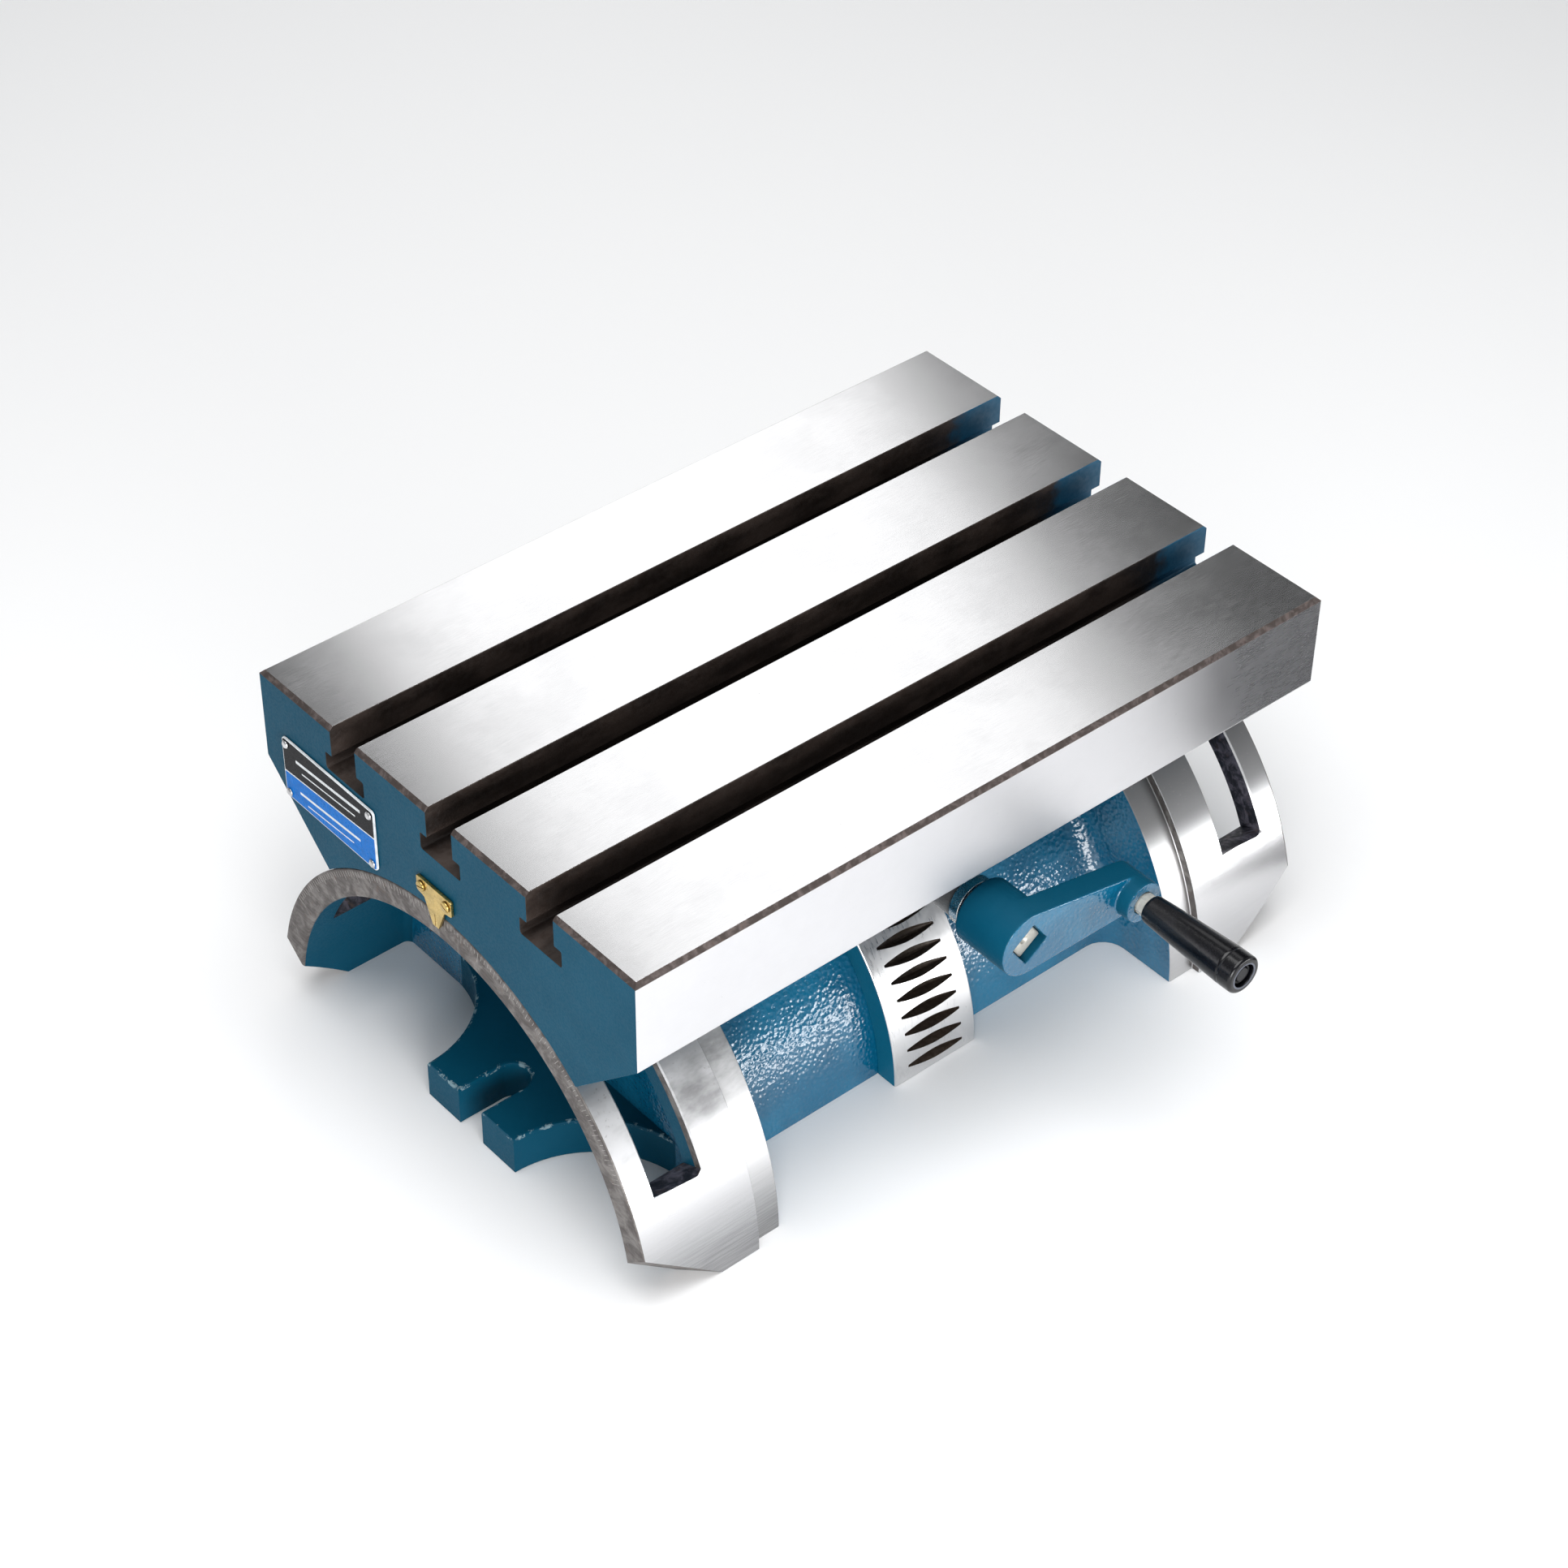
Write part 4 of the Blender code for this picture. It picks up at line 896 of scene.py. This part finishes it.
def make_grip():
    low, high = span("handle_grip")
    length = high.y - low.y
    outline = rounded([(3.8, 0, 0.3), (6.2, 0, 0.6), (6.6, 1.6, 0.8), (7.7, 18, 60), (8.6, 36, 60),
                       (9.1, 46.0, 3), (8.9, 46.7, 0.4), (9.1, 47.4, 0.6),
                       (9.1, length, 1.6), (5.6, length, 0.7), (5.6, length - 5, 0.6),
                       (3.8, length - 5, 0.2)], steps=6)
    place = on_grip_axis(high.y)
    make_piece("grip_body", lathe(outline, 96, place), "grip", plastic, ["handle_grip"])
    ring = rounded([(6.5, length - 0.2, 0), (6.5, length + 0.08, 0.08),
                    (5.75, length + 0.08, 0.08), (5.75, length - 0.2, 0)])
    make_piece("grip_end_ring", lathe(ring, 96, place), "grip", grey_blue_plastic)


def hexagon(across_corners):
    return [(across_corners * math.cos(math.radians(60 * k)),
             across_corners * math.sin(math.radians(60 * k))) for k in range(6)]


def make_stud():
    """Stud with a bright hexagonal neck and a dark threaded root, and the grip's nut."""
    low, high = span("handle_stud")
    neck_front, neck_back = NECK_Y
    place = on_grip_axis(high.y)
    front, back, tip = high.y - neck_front, high.y - neck_back, high.y - low.y
    stud = make_object("handle_pin", slab(hexagon(5.6), back, front, 0.4, place))
    rod = [(0, front - 1, 0), (3.5, front - 1, 0), (3.5, tip, 0.7), (0, tip, 0)]
    thread = [(0, 0, 0), (5.0, 0, 0.8), (5.0, back + 0.5, 0), (0, back + 0.5, 0)]
    shape(stud, "UNION", *[lathe(rounded(corners), 48, place) for corners in (rod, thread)])
    finish_piece(stud, "crank", [pale_steel, black_steel], ["handle_stud"],
                 lambda centre, normal: black_steel if centre.y < neck_front - 5 else pale_steel)
    low, high = span("grip_nut")
    long = high.y - low.y
    nut = rounded([(3.8, 0, 0), (5.0, 0, 0.3), (5.0, long, 0.6), (3.8, long, 0.2)])
    make_piece("grip_retainer", lathe(nut, 64, on_grip_axis(high.y)), "crank",
               black_steel, ["grip_nut"])


# ---- worm drive

def threaded(radius, start, end, pitch=1.5, depth=0.8):
    """Profile corners of a fine thread from start to end."""
    count = int((end - start) / pitch)
    corners = []
    for turn in range(count):
        corners += [(radius, start + pitch * (turn + 0.2), 0),
                    (radius - depth, start + pitch * (turn + 0.6), 0)]
    return corners


def make_shaft():
    """Shaft with a threaded back end and a chamfered, centre-drilled square in front."""
    low, high = span("worm_shaft")
    forward = along((0, 0, WORM_Z), -Y_AXIS)
    back, tip = -high.y, -low.y
    profile = ([(0, back, 0), (SHAFT_RADIUS - 1, back, 0)]
               + threaded(SHAFT_RADIUS, back + 0.5, back + 11)
               + [(SHAFT_RADIUS, back + 12, 0), (SHAFT_RADIUS, SQUARE_START, 0.3),
                  (0, SQUARE_START, 0)])
    shaft = make_object("drive_shaft", lathe(rounded(profile), 64, forward))
    half = SQUARE_HALF
    square = rounded(rectangle(-half, -half, half, half, 1.1))
    shape(shaft, "UNION", slab(square, SQUARE_START - 4, tip, 0.7, SQUARE_PLACE, low_edge=0))
    drill = lathe([(0, tip - 3.4), (0.7, tip - 2.8), (0.7, tip - 1.9), (2.3, tip + 0.2),
                   (2.3, tip + 1), (0, tip + 1)], 32, forward)
    shape(shaft, "DIFFERENCE", drill)
    tidy_mesh(shaft)
    finish_piece(shaft, "crank", [steel, pale_steel], ["worm_shaft"],
                 lambda centre, normal: pale_steel if centre.y < -SQUARE_START - 1 else steel)


def make_worm():
    """Right-hand worm with its thread swept finely round the core."""
    placement = at(0, 0, WORM_Z) @ Matrix(((0, -1, 0, 0), (0, 0, 1, 0), (-1, 0, 0, 0), (0, 0, 0, 1)))
    turns, steps = 6, 48
    sunk = WORM_ROOT - 1.0
    profile = [(sunk, 1.75), (WORM_ROOT + 0.2, 1.62), (WORM_TIP - 0.3, 0.74), (WORM_TIP, 0.5),
               (WORM_TIP, -0.5), (WORM_TIP - 0.3, -0.74), (WORM_ROOT + 0.2, -1.62), (sunk, -1.75)]
    sections = []
    for step in range(turns * steps + 1):
        turn = math.tau * step / steps
        rise = WORM_LEAD * (step / steps - turns / 2)
        sections.append([(r * math.cos(turn), r * math.sin(turn), rise + h) for r, h in profile])
    end = span("worm")[1].y
    core = rounded([(WORM_BORE, -end, 0.3), (12.5, -end, 0.6), (12.5, -30, 0),
                    (WORM_ROOT, -30, 0), (WORM_ROOT, 30, 0), (12.5, 30, 0), (12.5, end, 0.6),
                    (WORM_BORE, end, 0.3)])
    worm = make_object("worm_thread", lathe(core, 96, placement @ spin(3, "Z")))
    shape(worm, "UNION", loft(sections, placement))
    tidy_mesh(worm)
    finish_piece(worm, "crank", [steel], ["worm"], sharp=40)


def make_ring(name, node, body, look, corners, direction):
    make_piece(name, lathe(rounded(corners), 72, along((0, 0, WORM_Z), direction)), body,
               look, [node])


def hex_piece(name, across, low, high, place, *joined):
    """Hexagonal head or nut, its corners turned down at both ends."""
    piece = make_object(name, slab(hexagon(across), low, high, 0, place))
    turned_down = [(0, low), (across * 0.9, low), (across * 1.02, low + across * 0.07),
                   (across * 1.02, high - across * 0.07), (across * 0.9, high), (0, high)]
    shape(piece, "INTERSECT", lathe(turned_down, 72, place))
    if joined:
        shape(piece, "UNION", *joined)
    return piece


def make_bearings():
    bush = [(SHAFT_BORE, 57.0, 0.4), (13.5, 57.0, 0.4), (13.5, 41.1, 0), (16.5, 41.1, 0.3),
            (16.5, 39.6, 0.3), (SHAFT_BORE, 39.6, 0.4)]
    for end, direction in (("front", -Y_AXIS), ("back", Y_AXIS)):
        make_ring("bush_" + end + "_turned", "bush_" + end, "table", bronze, bush, direction)
        make_ring("thrust_" + end, "thrust_washer_" + end, "crank", steel,
                  rectangle(SHAFT_BORE, 37.3, 15.0, 39.3, 0.3), direction)
        block_piece = copy_node("block_" + end, "bearing_block_" + end)
        soften(block_piece, 0.6, 4)
        finish_piece(block_piece, "table", [enamel],
                     ["bearing_block_" + end], sharp=60)
    make_ring("collar", "front_collar", "crank", steel,
              rectangle(SHAFT_BORE, 112.5, 11.8, 118.0, 0.6), -Y_AXIS)
    make_ring("seal", "felt_seal", "crank", felt,
              rectangle(SHAFT_BORE, 99.0, 10.8, 112.2, 0.4), -Y_AXIS)
    back = along((0, 0, WORM_Z), Y_AXIS)
    nut = hex_piece("nut", 15.6, 57.3, 64.0, back)
    shape(nut, "DIFFERENCE", lathe([(0, 50), (SHAFT_BORE, 50), (SHAFT_BORE, 70), (0, 70)], 72, back))
    finish_piece(nut, "crank", [black_steel], ["lock_nut"])


def cap_screw(node, body, place, radius, length, head_radius, head_height):
    """Hexagon-socket screw with its head below the placement's origin."""
    profile = rounded([(0, length, 0), (radius - 0.8, length, 0), (radius, length - 0.8, 0),
                       (radius, 0, 0), (head_radius, 0, 0.2), (head_radius, -head_height, 0.7),
                       (0, -head_height, 0)])
    screw = make_object(node + "_socket", lathe(profile, 48, place))
    socket = slab(hexagon(head_radius * 0.52), -head_height - 1, -head_height * 0.45, 0, place)
    shape(screw, "DIFFERENCE", socket)
    finish_piece(screw, body, [black_steel], [node])


def make_screws():
    for key in ("front_left", "front_right", "back_left", "back_right"):
        low, high = span("block_screw_" + key)
        head = at((low.x + high.x) / 2, (low.y + high.y) / 2, low.z + BLOCK_SCREW_HEAD)
        cap_screw("block_screw_" + key, "table", head, 4.0, 18.5, head_radius=6.5,
                  head_height=BLOCK_SCREW_HEAD)
    for number, (x, angle) in enumerate(WHEEL_SCREWS, 1):
        head = round_axis(angle, x) @ at(0, 0, BARREL_BORE - 1.0)
        cap_screw("wheel_screw_%d" % number, "base", head, 2.5, 18.0, head_radius=4.2, head_height=4.0)
    place = at(0, GRUB_Y, WORM_Z) @ spin(180 - SQUARE_TURN, "Y")
    body = [(0, 7.6, 0), (1.6, 7.6, 0), (2.5, 8.5, 0), (2.5, 15.0, 0.3), (0, 15.0, 0)]
    grub = make_object("grub", lathe(rounded(body), 32, place))
    shape(grub, "DIFFERENCE", slab(hexagon(1.45), 12.4, 16, 0, place))
    finish_piece(grub, "crank", [black_steel], ["crank_grub_screw"])


def make_clamps():
    """Hexagon bolts inside the arches and the curved washers they pull on."""
    seat = CLAMP_SEAT
    for hand, side in (("left", -1), ("right", 1)):
        for end, angle in (("front", CLAMP_ANGLE), ("back", -CLAMP_ANGLE)):
            key = hand + "_" + end
            place = round_axis(angle, side * sum(WINDOW_X) / 2)
            shank = rounded([(0, seat - 2, 0), (8, seat - 2, 0), (8, 136, 0)]
                            + threaded(8, 136.5, 152.5, 2.0, 1.0)
                            + [(7, 153.9, 0), (0, 153.9, 0)])
            bolt = hex_piece("bolt_" + key, 13.9, seat - 10.3, seat - 0.3, place,
                             lathe(shank, 64, place))
            tidy_mesh(bolt)
            finish_piece(bolt, "clamp_" + key, [black_steel], ["clamp_bolt_" + key])
            washer = copy_node("washer_" + key, "clamp_washer_" + key)
            flat = washer.modifiers.new("Flat", "DECIMATE")
            flat.decimate_type = "DISSOLVE"
            flat.angle_limit = math.radians(1)
            bevel = washer.modifiers.new("Bevel", "BEVEL")
            bevel.width = 0.5 * MM
            bevel.segments = 2
            apply_modifiers(washer)
            finish_piece(washer, "table", [black_steel], ["clamp_washer_" + key])


# ---- end face fittings

def make_nameplate():
    """Printed plate with a border, two colour bands and plain ruled lines."""
    low, high = span("nameplate")
    rim = rectangle(low.y, low.z, high.y, high.z, 2.0)
    face = low.x
    make_piece("nameplate_body", slab(rounded(rim), face, high.x, 0.2, UPRIGHT), "table",
               ink_white, ["nameplate"])
    edge = 0.6
    split_left, split_right = high.z - 14.5, high.z - 18.5
    left, right, bottom, top = low.y + edge, high.y - edge, low.z + edge, high.z - edge
    upper = rounded([(left, split_left + 0.4, 0.4), (right, split_right + 0.4, 0.4),
                     (right, top, 1.4), (left, top, 1.4)])
    lower = rounded([(left, bottom, 1.4), (right, bottom, 1.4), (right, split_right - 0.4, 0.4),
                     (left, split_left - 0.4, 0.4)])
    for name, outline, look in (("nameplate_upper_band", upper, ink_black),
                                ("nameplate_lower_band", lower, ink_blue)):
        make_piece(name, slab(outline, face - 0.08, face + 0.1, 0.03, UPRIGHT), "table",
                   look)
    bars = []
    width = right - left
    lean = (split_right - split_left) / width
    for height, start, end, thick in ((top - 5.2, 0.14, 0.86, 1.6), (top - 9.4, 0.2, 0.8, 0.7),
                                      (bottom + 9.6, 0.16, 0.84, 1.3), (bottom + 5.6, 0.24, 0.76, 0.6)):
        (y0, z0), (y1, z1) = [(left + width * share, height + lean * width * share)
                              for share in (start, end)]
        corners = [(y0, z0, 0.2), (y1, z1, 0.2), (y1, z1 + thick, 0.2), (y0, z0 + thick, 0.2)]
        bars.append(slab(rounded(corners), face - 0.14, face, 0.03, UPRIGHT))
    make_piece("nameplate_rules", merge(*bars), "table", ink_white)


def dome(name, node, radius, height, body, look):
    """Round head with a shank, its flat side on the plate behind it."""
    low, high = span(node)
    centre = (low + high) / 2
    top = low.x
    outline = rounded([(0, 0, 0), (radius * 0.72, -0.06 * height, radius * 0.5),
                       (radius, -height, 0.15), (radius * 0.55, -height, 0.1),
                       (radius * 0.55, top - high.x, 0.1), (0, top - high.x, 0)])
    make_piece(name, lathe(outline, 32, along((top, centre.y, centre.z), -X_AXIS)), body,
               look, [node])


def make_pointer():
    """Stamped brass pointer with a scribed line, and its two slotted screws."""
    low, high = span("index_pointer")
    middle = (low.y + high.y) / 2
    half = (high.y - low.y) / 2
    right = [(half, high.z, 0.8), (half, 137, 0.8), (7, 136, 1.5), (2, low.z, 0.4)]
    outline = rounded([(middle - y, z, r) for y, z, r in right]
                      + [(middle + y, z, r) for y, z, r in reversed(right)])
    plate = make_object("pointer_plate", slab(outline, low.x, high.x, 0.25, UPRIGHT))
    scribe = block((low.x - 1, middle - 0.2, low.z - 1), (low.x + 0.25, middle + 0.2, 131))
    shape(plate, "DIFFERENCE", scribe)
    finish_piece(plate, "table", [brass], ["index_pointer"])
    for index in (1, 2):
        node = "pointer_screw_%d" % index
        low, high = span(node)
        centre = (low + high) / 2
        place = along((low.x, centre.y, centre.z), -X_AXIS)
        depth = high.x - low.x
        head = rounded([(0, 0, 0), (2.6, -0.15, 0.5), (2.6, -0.9, 0.1), (1.5, -0.9, 0),
                        (1.5, -depth, 0.3), (0, -depth, 0)])
        screw = make_object("pointer_head_%d" % index, lathe(head, 40, place))
        slot_place = place @ spin(25 + 40 * index, "Z")
        shape(screw, "DIFFERENCE", block((-4, -0.3, -0.45), (4, 0.3, 1), slot_place))
        finish_piece(screw, "table", [brass], [node])


# ---- studio

def stage_card(name, corners, levels, paint, roughness, colour, other, size):
    """Flat thing of the studio, its colour slightly uneven."""
    card = make_object(name, layered(rounded(corners), levels))
    look = Finish(paint, colour, roughness)
    look.colour(look.noise(size), colour, other)
    card.data.materials.append(look.material)
    return card


def softbox(name, place, aim, width, height, radiance, roll=0.0):
    """Rectangular light whose face has the given radiance, turned by roll about its aim."""
    data = bpy.data.lights.new(name, "AREA")
    data.shape = "RECTANGLE"
    data.size, data.size_y = width, height
    data.energy = radiance * math.pi * width * height
    light = bpy.data.objects.new(name, data)
    light.location = place
    direction = Vector(aim) - Vector(place)
    facing = direction.to_track_quat("-Z", "Y").to_matrix()
    light.rotation_euler = (facing @ Matrix.Rotation(math.radians(roll), 3, "Z")).to_euler()
    light.visible_camera = False
    bpy.context.scene.collection.objects.link(light)


def make_world():
    """Studio walls, bright near the floor and dim above, dark round the back softbox."""
    world = bpy.data.worlds.new("studio")
    world.use_nodes = True
    tree = world.node_tree
    place = add_node(tree, "TexCoord").outputs["Generated"]

    def share_towards(direction, inner, outer, at_inner, at_outer):
        """Value that goes from at_inner to at_outer by the angle from a direction."""
        cosine = add_node(tree, "VectorMath", {0: place, 1: Vector(direction).normalized()},
                          operation="DOT_PRODUCT").outputs["Value"]
        inputs = {"Value": cosine, "From Min": math.cos(math.radians(outer)),
                  "From Max": math.cos(math.radians(inner)), "To Min": at_outer, "To Max": at_inner}
        return add_node(tree, "MapRange", inputs, interpolation_type="SMOOTHSTEP").outputs["Result"]

    both = add_node(tree, "Math", {0: share_towards((0, 0, 1), 70, 88, WORLD_HIGH, WORLD_LOW),
                                   1: share_towards(DARK_SIDE, 18, 40, 0.15, 1.0)},
                    operation="MULTIPLY").outputs["Value"]
    background = tree.nodes["Background"].inputs
    background["Color"].default_value = (0.96, 0.98, 1.0, 1)
    tree.links.new(both, background["Strength"])
    bpy.context.scene.world = world


def make_studio():
    bpy.context.scene.view_settings.view_transform = "Standard"
    make_world()
    floor = stage_card("floor", rectangle(-6000, -6000, 6000, 6000), [(-20, 0), (-0.2, 0)],
                       "floor_paper", 0.8, (0.93, 0.93, 0.93), (0.91, 0.91, 0.915), 400)
    # Black card lying right of the table, seen only in the polished faces
    flag = stage_card("black_flag", rectangle(245, -420, 800, -180, 20), [(0.5, 0), (1.5, 0)],
                      "flag_cloth", 0.9, (0.03, 0.03, 0.035), (0.04, 0.04, 0.045), 30)
    flag.visible_camera = False
    flag.visible_diffuse = False
    flag.visible_shadow = False
    top = (0, 0, 0.184)
    softbox("back_softbox", (0.7305, 0.918, 1.125), top, 0.50, 1.5, 1.26, roll=33)
    softbox("front_softbox", (0.62, -1.10, 0.08), (0, 0, 0.05), 0.7, 0.14, 14.5)
    softbox("left_softbox", (-0.52, -0.78, 0.28), (0, -0.05, 0.06), 0.5, 0.42, 9.2)
    softbox("overhead_softbox", (-0.2, -0.2, 1.75), (0, -0.05, 0), 1.5, 1.5, 4.3)


def make_camera():
    data = bpy.data.cameras.new("camera")
    data.sensor_width = 36.0
    data.lens = 82.79
    data.shift_x = 0.03
    camera = bpy.data.objects.new("camera", data)
    camera.location = (-0.8017, -0.9166, 1.1316)
    azimuth, elevation = math.radians(-39.97), math.radians(40.30)
    back = Vector((math.sin(azimuth) * math.cos(elevation),
                   -math.cos(azimuth) * math.cos(elevation), math.sin(elevation)))
    camera.rotation_euler = (-back).to_track_quat("-Z", "Y").to_euler()
    bpy.context.scene.collection.objects.link(camera)
    bpy.context.scene.camera = camera


make_base()
make_rim_scale()
make_wheel()
make_table()
make_crank()
make_grip()
make_stud()
make_shaft()
make_worm()
make_bearings()
make_screws()
make_clamps()
make_nameplate()
for number in range(1, 5):
    dome("rivet_%d" % number, "nameplate_rivet_%d" % number, 2.1, 1.0, "table", alloy)
make_pointer()
make_studio()
make_camera()

# The CAD nodes that stay keep their meshes and get the fine finishes
SLOT_LOOKS = {"painted_casting": enamel, "table_iron": flat_enamel, "wheel_iron": wheel_silver,
              "steel": steel, "black_steel": black_steel, "bronze": bronze, "brass": brass,
              "plate_enamel": ink_blue, "rivet_alloy": alloy, "grip_plastic": plastic, "felt": felt}
for row in frame["record"]["subparts"]:
    kept = frame["nodes"][row["node"]]
    kept.data.materials.clear()
    kept.data.materials.append(SLOT_LOOKS[row["material_slot"]])
